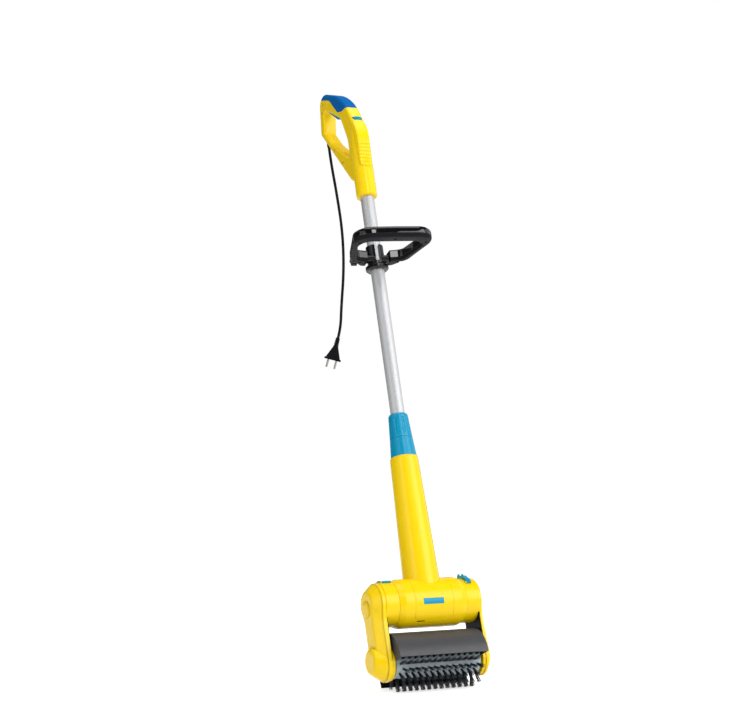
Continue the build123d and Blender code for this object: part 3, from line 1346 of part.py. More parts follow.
with BuildPart() as right_latch:
    latch_form(RIGHT_LATCH_IN, RIGHT_LATCH_OUT, RIGHT_LATCH_R, RIGHT_LATCH_REAR, RIGHT_LATCH_FRONT)
    add(thumb_pad.part)
    for edge in (RIGHT_LATCH_IN + HORN_R + FREE, THUMB_OUT - HORN_R - FREE):
        with BuildSketch(Plane.XY.offset(RIGHT_LATCH_R - HORN_R)):
            with Locations((edge, around(LATCH_SOLE, RIGHT_LATCH_REAR)[0] - HORN_R - FREE)):
                Circle(HORN_R)
        extrude(amount=HORN_TIP - RIGHT_LATCH_R + HORN_R)
write(right_latch, "right_latch")

with BuildPart() as left_latch:
    latch_form(-LEFT_LATCH_OUT, -LEFT_LATCH_IN, LEFT_LATCH_R, LEFT_LATCH_REAR, LEFT_LATCH_FRONT)
write(left_latch, "left_latch")

# Roller
with BuildPart() as roller_core:
    rod(CORE_TUBE_R, -CORE_TUBE_HALF, CORE_TUBE_HALF, ROLLER_Y, ROLLER_Z)
    hollow_half = CORE_TUBE_HALF - CORE_END_T
    rod(CORE_BORE, -hollow_half, hollow_half, ROLLER_Y, ROLLER_Z, mode=Mode.SUBTRACT)
    rod(SPINDLE_R, -CORE_TUBE_HALF, CORE_TUBE_HALF, ROLLER_Y, ROLLER_Z, mode=Mode.SUBTRACT)
    for k in range(ROWS):
        turn = Location((0, ROLLER_Y, ROLLER_Z), (360 * k / ROWS, 0, 0))
        with Locations(turn * Location((0, 0, CORE_TUBE_R))):
            Box(2 * STRIP_HALF, STRIP_W, 2 * (CORE_TUBE_R - STRIP_BOTTOM), mode=Mode.SUBTRACT)
write(roller_core, "roller_core")

STRAND_LENGTH = TIP_R - STRAND_ROOT


def strand_places(shift):
    """Places of one row's strands: raked tufts along X, the strands of each splayed a little."""
    places = []
    for k in range(TUFTS):
        x = (k - (TUFTS - 1) / 2) * TUFT_PITCH + shift
        for way in (-1, 1):
            foot = Location((x + way * STRAND_SPACING / 2, 0, STRAND_ROOT))
            lean = Location((0, 0, 0), (-TUFT_RAKE, way * STRAND_SPLAY, 0))
            places.append(foot * lean)
    return places


row_solids = []
for shift in (TUFT_PITCH / 4, -TUFT_PITCH / 4):
    with BuildPart() as bristle_row:
        with Locations((0, 0, STRIP_BOTTOM)):
            Box(2 * STRIP_HALF, STRIP_W, CORE_TUBE_R - STRIP_BOTTOM, align=UPWARDS)
        with Locations(*strand_places(shift)):
            Box(STRAND, STRAND, STRAND_LENGTH, align=UPWARDS)
    row_solids.append(bristle_row.part)

with BuildPart() as roller_bristles:
    for k in range(ROWS):
        turn = Location((0, ROLLER_Y, ROLLER_Z), (360 * k / ROWS, 0, 0))
        add(row_solids[k % 2].moved(turn))
write(roller_bristles, "roller_bristles")

with BuildPart() as drive_spindle:
    rod(SPINDLE_R, SPINDLE_LEFT, SPINDLE_RIGHT, ROLLER_Y, ROLLER_Z)
write(drive_spindle, "drive_spindle")

with BuildPart() as idle_axle:
    rod(SPINDLE_R, -SPINDLE_RIGHT, STUB_RIGHT, ROLLER_Y, ROLLER_Z)
write(idle_axle, "idle_axle")

with BuildPart() as driven_pulley:
    rod(DRIVEN_R, PULLEY_LEFT, PULLEY_RIGHT, ROLLER_Y, ROLLER_Z)
    rod(SPINDLE_R, PULLEY_LEFT, PULLEY_RIGHT, ROLLER_Y, ROLLER_Z, mode=Mode.SUBTRACT)
write(driven_pulley, "driven_pulley")
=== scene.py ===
import json
import math
import random

import bpy
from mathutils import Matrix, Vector


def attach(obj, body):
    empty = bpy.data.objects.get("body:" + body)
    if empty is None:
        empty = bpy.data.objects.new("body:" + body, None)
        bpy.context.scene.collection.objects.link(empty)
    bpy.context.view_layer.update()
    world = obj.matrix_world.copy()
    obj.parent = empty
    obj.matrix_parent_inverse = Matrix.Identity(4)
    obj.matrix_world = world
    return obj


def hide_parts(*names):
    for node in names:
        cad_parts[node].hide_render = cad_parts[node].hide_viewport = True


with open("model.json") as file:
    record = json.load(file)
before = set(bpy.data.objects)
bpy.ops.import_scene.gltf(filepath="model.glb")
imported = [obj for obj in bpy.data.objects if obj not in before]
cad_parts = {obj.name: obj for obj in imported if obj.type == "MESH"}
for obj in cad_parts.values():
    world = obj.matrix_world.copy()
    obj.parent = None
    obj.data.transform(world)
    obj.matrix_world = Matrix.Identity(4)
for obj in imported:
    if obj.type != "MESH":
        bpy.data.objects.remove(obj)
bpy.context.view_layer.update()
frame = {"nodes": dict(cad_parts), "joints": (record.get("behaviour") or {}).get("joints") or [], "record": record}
nodes = frame["nodes"]
scene = bpy.context.scene
scene.view_settings.view_transform = "Standard"

# Places of the solids that the pieces below are fitted to, in metres
LEAN = math.radians(18.5)  # the pole leans back
joint_places = {joint["name"]: Vector(joint["pos_m"]) for joint in frame["joints"] if "pos_m" in joint}
ROLLER_AXIS = joint_places["brush_spin"]
DRUM_AXIS = joint_places["head_tilt"]
ALONG = Vector((1.0, 0.0, 0.0))  # the direction of both axes

# Camera, at the photograph's viewing angle
CAMERA_PLACE = (-1.4704, -2.9940, 0.5774)
CAMERA_PITCH = math.radians(91.41)
CAMERA_TURN = math.radians(-24.0)
SENSOR_WIDTH_MM = 36.0
LENS_MM = 80.16
camera_data = bpy.data.cameras.new("camera")
camera_data.sensor_width = SENSOR_WIDTH_MM
camera_data.lens = LENS_MM
camera = bpy.data.objects.new("camera", camera_data)
camera.location = CAMERA_PLACE
camera.rotation_euler = (CAMERA_PITCH, 0.0, CAMERA_TURN)
scene.collection.objects.link(camera)
scene.camera = camera

# Power cord: hangs from the gland in the handle, and ends in the plug
CORD_EXIT = Vector((0.0, 0.54676, 1.17198))
CORD_SIDE = Vector((math.cos(CAMERA_TURN), math.sin(CAMERA_TURN), 0.0))  # to the camera's right
CORD_R = 0.00325
CORD_ROUTE = [  # aside and up, from the exit
    (0.0, 0.0),
    (0.005, -0.038),
    (0.0182, -0.109),
    (0.032, -0.199),
    (0.035, -0.289),
    (0.029, -0.373),
    (0.0276, -0.4215),
    (0.0213, -0.446),
]
cord_curve = bpy.data.curves.new("flex", "CURVE")
cord_curve.dimensions = "3D"
cord_curve.bevel_depth = 1.0  # times each point's own radius
cord_curve.bevel_resolution = 5
cord_curve.resolution_u = 20
cord_curve.use_fill_caps = True
cord_spline = cord_curve.splines.new("NURBS")
cord_spline.points.add(len(CORD_ROUTE) - 1)
for point, (aside, rise) in zip(cord_spline.points, CORD_ROUTE):
    place = CORD_EXIT + CORD_SIDE * aside + Vector((0.0, 0.0, rise))
    point.co = (place.x, place.y, place.z, 1.0)
    point.radius = CORD_R
cord_spline.order_u = 3
cord_spline.use_endpoint_u = True
flex = bpy.data.objects.new("flex", cord_curve)
scene.collection.objects.link(flex)
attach(flex, "handle_pole")
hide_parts("power_cord")

# Materials
NOISE_LOW = 0.3  # most of a noise's values lie between these
NOISE_HIGH = 0.7
WIPES_PER_CLOUD = 3.0
PORE_DEPTH = 0.0005


def new_node(tree, kind, **inputs):
    """A node of a kind, with some of its inputs set; underscores stand for spaces."""
    node = tree.nodes.new(kind)
    for name, value in inputs.items():
        node.inputs[name.replace("_", " ")].default_value = value
    return node


def shade(color, factor):
    """The colour made lighter or darker, with its alpha."""
    return tuple(min(1.0, channel * factor) for channel in color) + (1.0,)


def finish(
    name,
    color,
    rough,
    mottle=0.03,
    cloud=0.06,
    haze=0.04,
    grain=0.06,
    pore=0.0009,
    edge=0.0006,
    stretch=1.0,
    **shader_inputs,
):
    """A surface with cloudy colour, uneven gloss, fine grain and softened edges.

    mottle is the share by which the colour varies over clouds of a size, haze the change in roughness,
    grain the strength of pores of a size, edge the radius of the softened edges, and stretch under 1
    draws clouds and pores out along the pole.
    """
    material = bpy.data.materials.new(name)
    material.use_nodes = True
    tree = material.node_tree
    join = tree.links.new
    shader = tree.nodes["Principled BSDF"]
    for key, value in shader_inputs.items():
        shader.inputs[key.replace("_", " ")].default_value = value

    upright = new_node(tree, "ShaderNodeMapping", Rotation=(LEAN, 0.0, 0.0))
    join(new_node(tree, "ShaderNodeTexCoord").outputs["Object"], upright.inputs["Vector"])
    drawn = new_node(tree, "ShaderNodeMapping", Scale=(1.0, 1.0, stretch))
    join(upright.outputs["Vector"], drawn.inputs["Vector"])

    clouds = new_node(tree, "ShaderNodeTexNoise", Scale=1.0 / cloud, Detail=4.0)
    join(drawn.outputs["Vector"], clouds.inputs["Vector"])
    tint = tree.nodes.new("ShaderNodeValToRGB")
    dark, light = tint.color_ramp.elements
    dark.position = NOISE_LOW
    dark.color = shade(color, 1.0 - mottle)
    light.position = NOISE_HIGH
    light.color = shade(color, 1.0 + mottle)
    join(clouds.outputs["Fac"], tint.inputs["Fac"])
    join(tint.outputs["Color"], shader.inputs["Base Color"])

    wipes = new_node(tree, "ShaderNodeTexNoise", Scale=WIPES_PER_CLOUD / cloud, Detail=3.0)
    join(drawn.outputs["Vector"], wipes.inputs["Vector"])
    gloss = new_node(tree, "ShaderNodeMapRange", From_Min=NOISE_LOW, From_Max=NOISE_HIGH)
    gloss.inputs["To Min"].default_value = rough - haze
    gloss.inputs["To Max"].default_value = rough + haze
    join(wipes.outputs["Fac"], gloss.inputs["Value"])
    join(gloss.outputs["Result"], shader.inputs["Roughness"])

    soft_edge = new_node(tree, "ShaderNodeBevel", Radius=edge)
    pores = new_node(tree, "ShaderNodeTexNoise", Scale=1.0 / pore, Detail=2.0)
    join(drawn.outputs["Vector"], pores.inputs["Vector"])
    bump = new_node(tree, "ShaderNodeBump", Strength=grain, Distance=PORE_DEPTH)
    join(pores.outputs["Fac"], bump.inputs["Height"])
    join(soft_edge.outputs["Normal"], bump.inputs["Normal"])
    join(bump.outputs["Normal"], shader.inputs["Normal"])
    return material


SATIN = {"Specular_IOR_Level": 0.25}
DULL = {"Specular_IOR_Level": 0.03}
EVEN = {"grain": 0.0, "edge": 0.0}
YELLOW = (0.95, 0.65, 0.001)
FINISHES = {
    "yellow_shell": finish("yellow_plastic", YELLOW, 0.24, mottle=0.02, **SATIN),
    "blue_soft": finish("blue_rubber", (0.0, 0.112, 0.37), 0.55, grain=0.2, pore=0.0007, **DULL),
    "blue_clamp": finish("blue_plastic", (0.0, 0.29, 0.49), 0.24, **SATIN),
    "black_gloss": finish("gloss_black", (0.004, 0.004, 0.005), 0.06, haze=0.01, grain=0.0, edge=0.001),
    "black_matt": finish("matt_black", (0.012, 0.012, 0.014), 0.4, grain=0.05, pore=0.002, **DULL),
    "black_rubber": finish("black_rubber", (0.010, 0.010, 0.011), 0.5, grain=0.2, pore=0.0006, **DULL),
    "guard_grey": finish("guard_plastic", (0.066, 0.067, 0.073), 0.36, **SATIN, **EVEN),
    "core_grey": finish("core_plastic", (0.44, 0.53, 0.57), 0.45, grain=0.1),
    "bristle_dark": finish("nylon", (0.010, 0.014, 0.022), 0.36, mottle=0.4, cloud=0.004, edge=0.0),
    "tube_metal": finish("satin_aluminium", (0.54, 0.545, 0.555), 0.55, stretch=0.02, Metallic=0.6, **EVEN),
    "steel": finish("turned_steel", (0.55, 0.55, 0.57), 0.32, grain=0.08, Metallic=1.0),
    "pin_metal": finish("nickel", (0.36, 0.34, 0.31), 0.3, grain=0.05, Metallic=1.0),
    "pale_plastic": finish("acetal", (0.72, 0.72, 0.69), 0.4),
    "board_green": finish("circuit_board", (0.012, 0.12, 0.05), 0.4, grain=0.2, pore=0.0012),
}
black_satin = finish("satin_black", (0.006, 0.006, 0.007), 0.2, edge=0.001, Specular_IOR_Level=0.3)
own_finishes = dict.fromkeys(("aux_clamp", "aux_knob", "aux_screws"), black_satin)
own_finishes["left_arm_cover"] = finish("blended_yellow", YELLOW, 0.24, mottle=0.02, edge=0.008, **SATIN)
slot_of = {part["node"]: part["material_slot"] for part in frame["record"]["subparts"]}
for name, node in nodes.items():
    surface = own_finishes.get(name, FINISHES[slot_of[name]])
    if not node.material_slots:
        node.data.materials.append(surface)
    for material_slot in node.material_slots:
        material_slot.material = surface
cord_curve.materials.append(FINISHES["black_rubber"])


def new_piece(name, verts, faces, body, slot, smooth=True):
    """A mesh piece in a slot's finish, riding on a body."""
    mesh = bpy.data.meshes.new(name)
    mesh.from_pydata(verts, [], faces)
    mesh.polygons.foreach_set("use_smooth", [smooth] * len(mesh.polygons))
    mesh.materials.append(FINISHES[slot])
    piece = bpy.data.objects.new(name, mesh)
    scene.collection.objects.link(piece)
    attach(piece, body)
    return piece


def outward(angle):
    """Directions away from an axis across the pole, at an angle forward of its top, and onward round it."""
    turned = angle - LEAN
    out = Vector((0.0, -math.sin(turned), math.cos(turned)))
    onward = Vector((0.0, -math.cos(turned), -math.sin(turned)))
    return out, onward


# Roller: strips set flush in the core, and tufts of nylon filaments
ROWS = 18
TUFTS = 13
TUFT_PITCH = 0.0137
CORE_R = 0.029
STRIP_HALF = 0.0915
STRIP_WIDTH = 0.006
STRIP_BOTTOM = 0.0255
STRIP_PROUD = 0.0001
STRIP_STEPS = 4
ROOT_R = 0.0275
TIP_R = 0.056
FILAMENTS = 28  # in a tuft
FILAMENT_R = 0.00036
THINNEST = 0.8  # shares of that radius at the root
THICKEST = 1.1
TAPER = 0.2  # share of the radius lost towards the tip
SHORTFALL = 0.02  # usual share of the length that a filament lacks
TUFT_R = 0.0019  # at the roots
FLARE = math.radians(4.6)  # of a tuft's outermost filaments
RAKE = math.radians(9.0)  # lean of all filaments round the roller
STRAY = math.radians(1.0)  # usual error of a filament's lean
WAVE = 0.0006  # most that a filament bows either way
GOLDEN = math.pi * (3.0 - math.sqrt(5.0))  # turn from filament to filament that spreads them evenly
SIDES = 3
RINGS = 3
SEED = 7


def strip_section(row):
    """Outline of one strip across the roller: a round top on the core's own radius, and a flat bottom."""
    out, onward = outward(2.0 * math.pi * row / ROWS)
    section = []
    for step in range(STRIP_STEPS + 1):
        across = STRIP_WIDTH * (step / STRIP_STEPS - 0.5)
        section.append(onward * across + out * (math.sqrt(CORE_R**2 - across**2) + STRIP_PROUD))
    section.append(onward * (STRIP_WIDTH / 2) + out * STRIP_BOTTOM)
    section.append(onward * (-STRIP_WIDTH / 2) + out * STRIP_BOTTOM)
    return section


strip_verts = []
strip_faces = []
for row in range(ROWS):
    section = strip_section(row)
    count = len(section)
    base = len(strip_verts)
    for x in (-STRIP_HALF, STRIP_HALF):
        strip_verts += [ROLLER_AXIS + ALONG * x + corner for corner in section]
    for step in range(count):
        after = (step + 1) % count
        strip_faces.append((base + step, base + after, base + count + after, base + count + step))
    strip_faces.append(tuple(range(base + count - 1, base - 1, -1)))
    strip_faces.append(tuple(range(base + count, base + 2 * count)))
strips = new_piece("bristle_strips", strip_verts, strip_faces, "roller", "core_grey", smooth=False)
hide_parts("roller_bristles")

chance = random.Random(SEED)
hair_verts = []
hair_faces = []


def add_filament(root, way, bend, turn):
    """One slim, slightly bowed filament that thins towards its tip."""
    first = way.orthogonal().normalized()
    second = way.cross(first)
    length = (TIP_R - ROOT_R) * (1.0 - abs(chance.gauss(0.0, SHORTFALL)))
    thick = FILAMENT_R * chance.uniform(THINNEST, THICKEST)
    start = len(hair_verts)
    for ring in range(RINGS):
        share = ring / (RINGS - 1)
        bow = 4.0 * share * (1.0 - share)  # whole halfway up, none at the ends
        middle = root + way * (length * share) + bend * bow
        radius = thick * (1.0 - TAPER * share)
        for side in range(SIDES):
            angle = turn + 2.0 * math.pi * side / SIDES
            hair_verts.append(middle + (first * math.cos(angle) + second * math.sin(angle)) * radius)
    for ring in range(RINGS - 1):
        for side in range(SIDES):
            here = start + ring * SIDES + side
            beside = start + ring * SIDES + (side + 1) % SIDES
            hair_faces.append((here, beside, beside + SIDES, here + SIDES))
    hair_faces.append(tuple(start + side for side in reversed(range(SIDES))))
    hair_faces.append(tuple(start + (RINGS - 1) * SIDES + side for side in range(SIDES)))


for row in range(ROWS):
    out, onward = outward(2.0 * math.pi * row / ROWS)
    stagger = TUFT_PITCH / 4 if row % 2 == 0 else -TUFT_PITCH / 4
    for tuft in range(TUFTS):
        middle = ROLLER_AXIS + ALONG * ((tuft - (TUFTS - 1) / 2) * TUFT_PITCH + stagger) + out * ROOT_R
        for hair in range(FILAMENTS):
            spread = math.sqrt((hair + 0.5) / FILAMENTS)
            turn = hair * GOLDEN
            aside = spread * math.cos(turn)
            ahead = spread * math.sin(turn)
            root = middle + (ALONG * aside + onward * ahead) * TUFT_R
            tip_aside = math.tan(FLARE * aside + chance.gauss(0.0, STRAY))
            tip_ahead = math.tan(FLARE * ahead - RAKE + chance.gauss(0.0, STRAY))
            way = (out + ALONG * tip_aside + onward * tip_ahead).normalized()
            bend = (ALONG * chance.uniform(-1.0, 1.0) + onward * chance.uniform(-1.0, 1.0)) * WAVE
            add_filament(root, way, bend, turn)
tufts = new_piece("bristle_tufts", hair_verts, hair_faces, "roller", "bristle_dark")
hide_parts("roller_bristles")

# Loop handle: two smooth shells in place of the solids' own, as points aside, forward and up in its plane
LOOP_MIDDLE = 0.758  # up the pole
LOOP_TURN = math.radians(-7.5)
LOOP_TILT = math.radians(-1.5)
LOOP_HALF = 0.0125
LOOP_PARTING = -0.005
LOOP_SEAM = 0.0002
TOP_ROUND = 0.010
LOW_ROUND = 0.007
INNER_ROUND = 0.003
OUTER_SHARE = 0.65  # most of the shell's width that a rounded edge takes
INNER_SHARE = 0.3
ROUND_STEPS = 6
SHELL_END = 0.0258  # the shells end here, beside the clamp's ears
LOOP_OUTER = [  # corners with their bends
    ((0.0, 0.167), 0.0),
    ((0.0933, 0.165), 0.038),
    ((0.067, 0.027), 0.030),
    ((0.034, -0.010), 0.012),
    ((SHELL_END, -0.010), 0.0),
]
LOOP_INNER = [
    ((0.0, 0.134), 0.0),
    ((0.0784, 0.134), 0.027),
    ((0.051, 0.030), 0.014),
    ((SHELL_END, 0.0248), 0.0),
]
# Steps of the runs and arcs in turn, as many in all on both sides
OUTER_STEPS = [10, 16, 8, 10, 5, 6, 2]
INNER_STEPS = [10, 16, 8, 10, 13]
SEAT_PLACE = (-0.009, 0.755)  # the knob's axis, back and up the pole
SEAT_R = 0.0145
SEAT_SIDE = 0.047
SCREW_PLACES = [(0.0, 0.148), (0.073, 0.129), (-0.073, 0.129), (0.043, 0.017), (-0.043, 0.017)]
SCREW_HOLE_R = 0.0033
SCREW_HOLE_DEPTH = 0.0033
CUTTER_SIDES = 32
CUTTER_REACH = 0.06
CRISP_ANGLE = math.radians(40.0)


def on_pole(x, y, z):
    """A point of the upright pole's frame, turned with the loop's clamp and leaned back with the pole."""
    turned_x = x * math.cos(LOOP_TURN) - y * math.sin(LOOP_TURN)
    turned_y = x * math.sin(LOOP_TURN) + y * math.cos(LOOP_TURN)
    back = turned_y * math.cos(LEAN) + z * math.sin(LEAN)
    rise = z * math.cos(LEAN) - turned_y * math.sin(LEAN)
    return DRUM_AXIS + Vector((turned_x, back, rise))


def on_loop(aside, forward, up):
    """A point of the loop's own plane."""
    back = up * math.sin(LOOP_TILT) - forward * math.cos(LOOP_TILT)
    return on_pole(aside, back, LOOP_MIDDLE + forward * math.sin(LOOP_TILT) + up * math.cos(LOOP_TILT))


def rounded_path(corners, steps):
    """Points along straight runs and the arcs that round their corners, with a number of steps for each."""
    counts = iter(steps)
    start = Vector(corners[0][0])
    path = []
    for (before, _), (here, bend), (after, _) in zip(corners, corners[1:], corners[2:]):
        into = (Vector(here) - Vector(before)).normalized()
        onward = (Vector(after) - Vector(here)).normalized()
        half = into.angle(onward) / 2.0
        first = Vector(here) - into * (bend * math.tan(half))
        middle = Vector(here) + (onward - into).normalized() * (bend / math.cos(half))
        run = next(counts)
        path += [start.lerp(first, step / run) for step in range(run)]
        arc = next(counts)
        side = 1.0 if into.cross(onward) > 0.0 else -1.0
        for step in range(arc):
            angle = side * 2.0 * half * step / arc
            spoke = first - middle
            turned = (
                spoke.x * math.cos(angle) - spoke.y * math.sin(angle),
                spoke.x * math.sin(angle) + spoke.y * math.cos(angle),
            )
            path.append(middle + Vector(turned))
        start = Vector(here) + onward * (bend * math.tan(half))
    run = next(counts)
    path += [start.lerp(Vector(corners[-1][0]), step / run) for step in range(run + 1)]
    return path


def shell_section(outer, inner, way, flat):
    """One cross-section of a shell, from the parting round its upper (1) or lower (-1) edge and back."""
    width = (outer - inner).length
    across = (outer - inner) / width
    section = [(outer, flat)]
    rise = TOP_ROUND if way > 0 else LOW_ROUND
    for edge, toward, reach, height in (
        (outer, -1.0, min(rise, OUTER_SHARE * width), rise),
        (inner, 1.0, min(INNER_ROUND, INNER_SHARE * width), INNER_ROUND),
    ):
        corner = []
        for step in range(ROUND_STEPS + 1):
            angle = 0.5 * math.pi * step / ROUND_STEPS
            spot = edge + across * (toward * reach * (1.0 - math.cos(angle)))
            corner.append((spot, way * (LOOP_HALF - height * (1.0 - math.sin(angle)))))
        section += corner if edge is outer else corner[::-1]
    return section + [(inner, flat)]


def loop_shell(name, way, slot, node):
    """One of the two shells, swept round the loop from the clamp's one side to its other."""
    flat = LOOP_PARTING + way * LOOP_SEAM
    outline = list(zip(rounded_path(LOOP_OUTER, OUTER_STEPS), rounded_path(LOOP_INNER, INNER_STEPS)))
    mirrored = [tuple(Vector((-spot.x, spot.y)) for spot in pair) for pair in reversed(outline)]
    verts = []
    faces = []
    for outer, inner in mirrored + outline[1:]:
        section = shell_section(outer, inner, way, flat)
        verts += [on_loop(spot.x, spot.y, up) for spot, up in section]
    count = len(section)
    for start in range(0, len(verts) - count, count):
        for step in range(count):
            after = (step + 1) % count
            face = (start + step, start + after, start + count + after, start + count + step)
            faces.append(face if way < 0 else face[::-1])
    ends = [tuple(range(count)), tuple(range(len(verts) - 1, len(verts) - count - 1, -1))]
    faces += ends if way > 0 else [end[::-1] for end in ends]
    piece = new_piece(name, verts, faces, "aux_handle", slot)
    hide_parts(node)
    return piece


def cutter(start, end, radius):
    """A round cutting rod between two points."""
    axis = (end - start).normalized()
    first = axis.orthogonal().normalized()
    second = axis.cross(first)
    verts = []
    for middle in (start, end):
        for side in range(CUTTER_SIDES):
            angle = 2.0 * math.pi * side / CUTTER_SIDES
            verts.append(middle + (first * math.cos(angle) + second * math.sin(angle)) * radius)
    faces = [tuple(range(CUTTER_SIDES - 1, -1, -1)), tuple(range(CUTTER_SIDES, 2 * CUTTER_SIDES))]
    for side in range(CUTTER_SIDES):
        after = (side + 1) % CUTTER_SIDES
        faces.append((side, after, CUTTER_SIDES + after, CUTTER_SIDES + side))
    mesh = bpy.data.meshes.new("cutter")
    mesh.from_pydata(verts, [], faces)
    rod = bpy.data.objects.new("cutter", mesh)
    scene.collection.objects.link(rod)
    return rod


def carve(piece, rods):
    """Cut rods out of a piece and keep its new edges crisp."""
    for rod in rods:
        cut = piece.modifiers.new(rod.name, "BOOLEAN")
        cut.operation = "DIFFERENCE"
        cut.solver = "EXACT"
        cut.object = rod
    carved = bpy.data.meshes.new_from_object(piece.evaluated_get(bpy.context.evaluated_depsgraph_get()))
    piece.modifiers.clear()
    piece.data = carved
    carved.set_sharp_from_angle(angle=CRISP_ANGLE)


loop_top = loop_shell("loop_top", 1, "black_gloss", "aux_loop_upper")
loop_bottom = loop_shell("loop_bottom", -1, "black_matt", "aux_loop_lower")
seats = []
for way in (-1, 1):
    seat_floor = on_pole(way * SEAT_SIDE, *SEAT_PLACE)
    seat_mouth = on_pole(way * (SEAT_SIDE + CUTTER_REACH), *SEAT_PLACE)
    seats.append(cutter(seat_floor, seat_mouth, SEAT_R))
screw_holes = []
for aside, forward in SCREW_PLACES:
    mouth = on_loop(aside, forward, -LOOP_HALF - SCREW_HOLE_DEPTH)
    floor_of_hole = on_loop(aside, forward, SCREW_HOLE_DEPTH - LOOP_HALF)
    screw_holes.append(cutter(mouth, floor_of_hole, SCREW_HOLE_R))
carve(loop_top, seats)
carve(loop_bottom, seats + screw_holes)
for rod in seats + screw_holes:
    bpy.data.objects.remove(rod)

# Dark woven sheet in the drum's air slot: painted shade that stands for the shade deep in the slot
SLOT_MIDDLE = -0.0267
SLOT_HALF = 0.0089
SLOT_HEIGHT = 0.0029
SLOT_ANGLE = math.radians(146.5)  # forward of the drum's top
SHADE_SHEET_R = 0.0498
SHADE_SHEET_T = 0.0008
WEAVE = 0.0002
WARPS = 36
WEFTS = 6


def shade_sheet_side(depth):
    """Points of one woven side of the slot's dark sheet of painted shade, warp by warp."""
    out, onward = outward(SLOT_ANGLE)
    points = []
    for warp in range(WARPS + 1):
        x = SLOT_MIDDLE + SLOT_HALF * (2.0 * warp / WARPS - 1.0)
        for weft in range(WEFTS + 1):
            rise = SLOT_HEIGHT * (weft / WEFTS - 0.5)
            level = SHADE_SHEET_R - depth - WEAVE * ((warp + weft) % 2)
            points.append(DRUM_AXIS + ALONG * x + onward * rise + out * level)
    return points


shade_sheet_verts = shade_sheet_side(0.0) + shade_sheet_side(SHADE_SHEET_T)
PER_SIDE = len(shade_sheet_verts) // 2
PER_WARP = WEFTS + 1
shade_sheet_faces = []
for warp in range(WARPS):
    for weft in range(WEFTS):
        here = warp * PER_WARP + weft
        face = (here, here + 1, here + PER_WARP + 1, here + PER_WARP)
        shade_sheet_faces += [face, tuple(PER_SIDE + corner for corner in reversed(face))]
rim = list(range(WEFTS))
rim += [warp * PER_WARP + WEFTS for warp in range(WARPS)]
rim += [PER_SIDE - 1 - weft for weft in range(WEFTS)]
rim += [warp * PER_WARP for warp in range(WARPS, 0, -1)]
for here, after in zip(rim, rim[1:] + rim[:1]):
    shade_sheet_faces.append((after, here, PER_SIDE + here, PER_SIDE + after))
# A dark sheet set in the slot where there is only shade: painted shade
slot_shade_sheet = new_piece("slot_gauze", shade_sheet_verts, shade_sheet_faces, "housing", "black_rubber", smooth=False)
# near-black and unshiny, so that the slot reads as painted shade
slot_shade_sheet.data.materials[0] = finish("dark_gauze", (0.003, 0.003, 0.003), 0.9, Specular_IOR_Level=0.0)

# Floor, surroundings and light
MIDDLE = (0.0, 0.2, 0.6)  # of the brush
UNDER_TOP_FLAG = (0.0, 0.05, 0.6)  # a little off its plumb line, which would leave its sides undefined
CORNERS = ((-1, -1), (1, -1), (1, 1), (-1, 1))  # of a rectangle, in half its sizes
WHITE = (1.0, 1.0, 1.0, 1.0)
FLOOR_REACH = 9.0
FLOOR_GREY = 0.85
FLOOR_GLOW = (0.12, 0.7)  # on surfaces, and in sight
ROOM_GLOW = (0.38, 1.0)


def in_sight(tree):
    """1 for what the camera sees straight or in shiny and clear things, 0 for light on surfaces."""
    path = tree.nodes.new("ShaderNodeLightPath")
    seen = path.outputs["Is Camera Ray"]
    for name in ("Is Glossy Ray", "Is Transmission Ray"):
        either = tree.nodes.new("ShaderNodeMath")
        either.operation = "MAXIMUM"
        tree.links.new(seen, either.inputs[0])
        tree.links.new(path.outputs[name], either.inputs[1])
        seen = either.outputs["Value"]
    return seen


def set_glow(tree, strength, levels):
    """Link a light strength to its level on surfaces and its level in sight."""
    on_surfaces, seen = levels
    level = new_node(tree, "ShaderNodeMapRange", To_Min=on_surfaces, To_Max=seen)
    tree.links.new(in_sight(tree), level.inputs["Value"])
    tree.links.new(level.outputs["Result"], strength)


def stage_plane(name, corners, grey):
    """A plain sheet of the set."""
    mesh = bpy.data.meshes.new(name)
    mesh.from_pydata(corners, [], [(0, 1, 2, 3)])
    material = bpy.data.materials.new(name)
    material.use_nodes = True
    shader = material.node_tree.nodes["Principled BSDF"]
    shader.inputs["Base Color"].default_value = (grey, grey, grey, 1.0)
    shader.inputs["Roughness"].default_value = 0.9
    shader.inputs["Specular IOR Level"].default_value = 0.1
    mesh.materials.append(material)
    sheet = bpy.data.objects.new(name, mesh)
    scene.collection.objects.link(sheet)
    return sheet


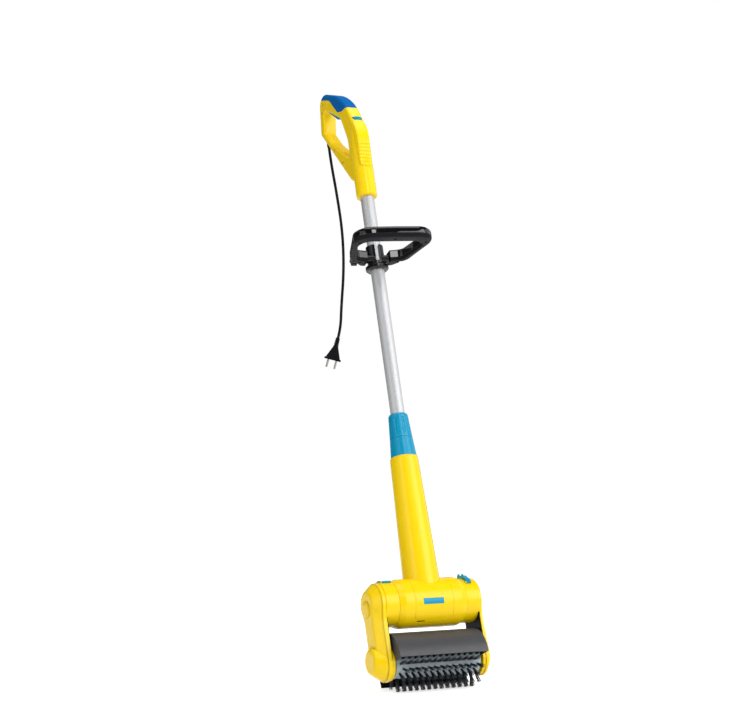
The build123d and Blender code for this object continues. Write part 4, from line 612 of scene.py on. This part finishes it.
floor_corners = [(x * FLOOR_REACH, y * FLOOR_REACH, 0.0) for x, y in CORNERS]
floor = stage_plane("floor", floor_corners, FLOOR_GREY)
floor_tree = floor.active_material.node_tree
floor_shader = floor_tree.nodes["Principled BSDF"]
floor_shader.inputs["Emission Color"].default_value = WHITE
set_glow(floor_tree, floor_shader.inputs["Emission Strength"], FLOOR_GLOW)

world = bpy.data.worlds.new("studio")
world.use_nodes = True
scene.world = world
room = world.node_tree.nodes["Background"]
room.inputs["Color"].default_value = WHITE
set_glow(world.node_tree, room.inputs["Strength"], ROOM_GLOW)


def flag(name, place, target, width, height, grey):
    """A dark card beside the set, which only shiny surfaces see."""
    facing = (Vector(target) - Vector(place)).normalized()
    side = facing.cross(Vector((0.0, 0.0, 1.0))).normalized()
    up = side.cross(facing)
    corners = []
    for x, z in CORNERS:
        corners.append(Vector(place) + side * (x * width / 2) + up * (z * height / 2))
    card = stage_plane(name, corners, grey)
    card.visible_camera = False
    card.visible_diffuse = False
    card.visible_shadow = False


def softbox(name, place, target, width, height, power):
    """A large soft area light aimed at a point."""
    data = bpy.data.lights.new(name, "AREA")
    data.shape = "RECTANGLE"
    data.size = width
    data.size_y = height
    data.energy = power
    light = bpy.data.objects.new(name, data)
    light.location = place
    light.rotation_euler = (Vector(target) - Vector(place)).to_track_quat("-Z", "Y").to_euler()
    scene.collection.objects.link(light)


flag("flag_front", (-1.9, -5.5, 1.6), MIDDLE, width=9.0, height=5.0, grey=0.03)
flag("flag_top", (0.0, 0.0, 4.4), UNDER_TOP_FLAG, width=9.0, height=10.0, grey=0.03)
flag("flag_left", (-2.0, 2.4, 1.0), MIDDLE, width=4.0, height=3.2, grey=0.05)
flag("flag_back", (2.4, 4.9, 0.5), MIDDLE, width=6.0, height=4.0, grey=0.05)
softbox("key", (1.9, -2.3, 2.1), MIDDLE, width=2.4, height=2.4, power=76.0)
softbox("left", (-2.7, -1.2, 1.3), MIDDLE, width=1.2, height=2.4, power=16.0)
softbox("front", (-0.2, -2.1, 2.9), MIDDLE, width=0.9, height=0.6, power=16.0)
softbox("top", (0.0, 0.4, 3.2), MIDDLE, width=2.0, height=2.0, power=30.0)
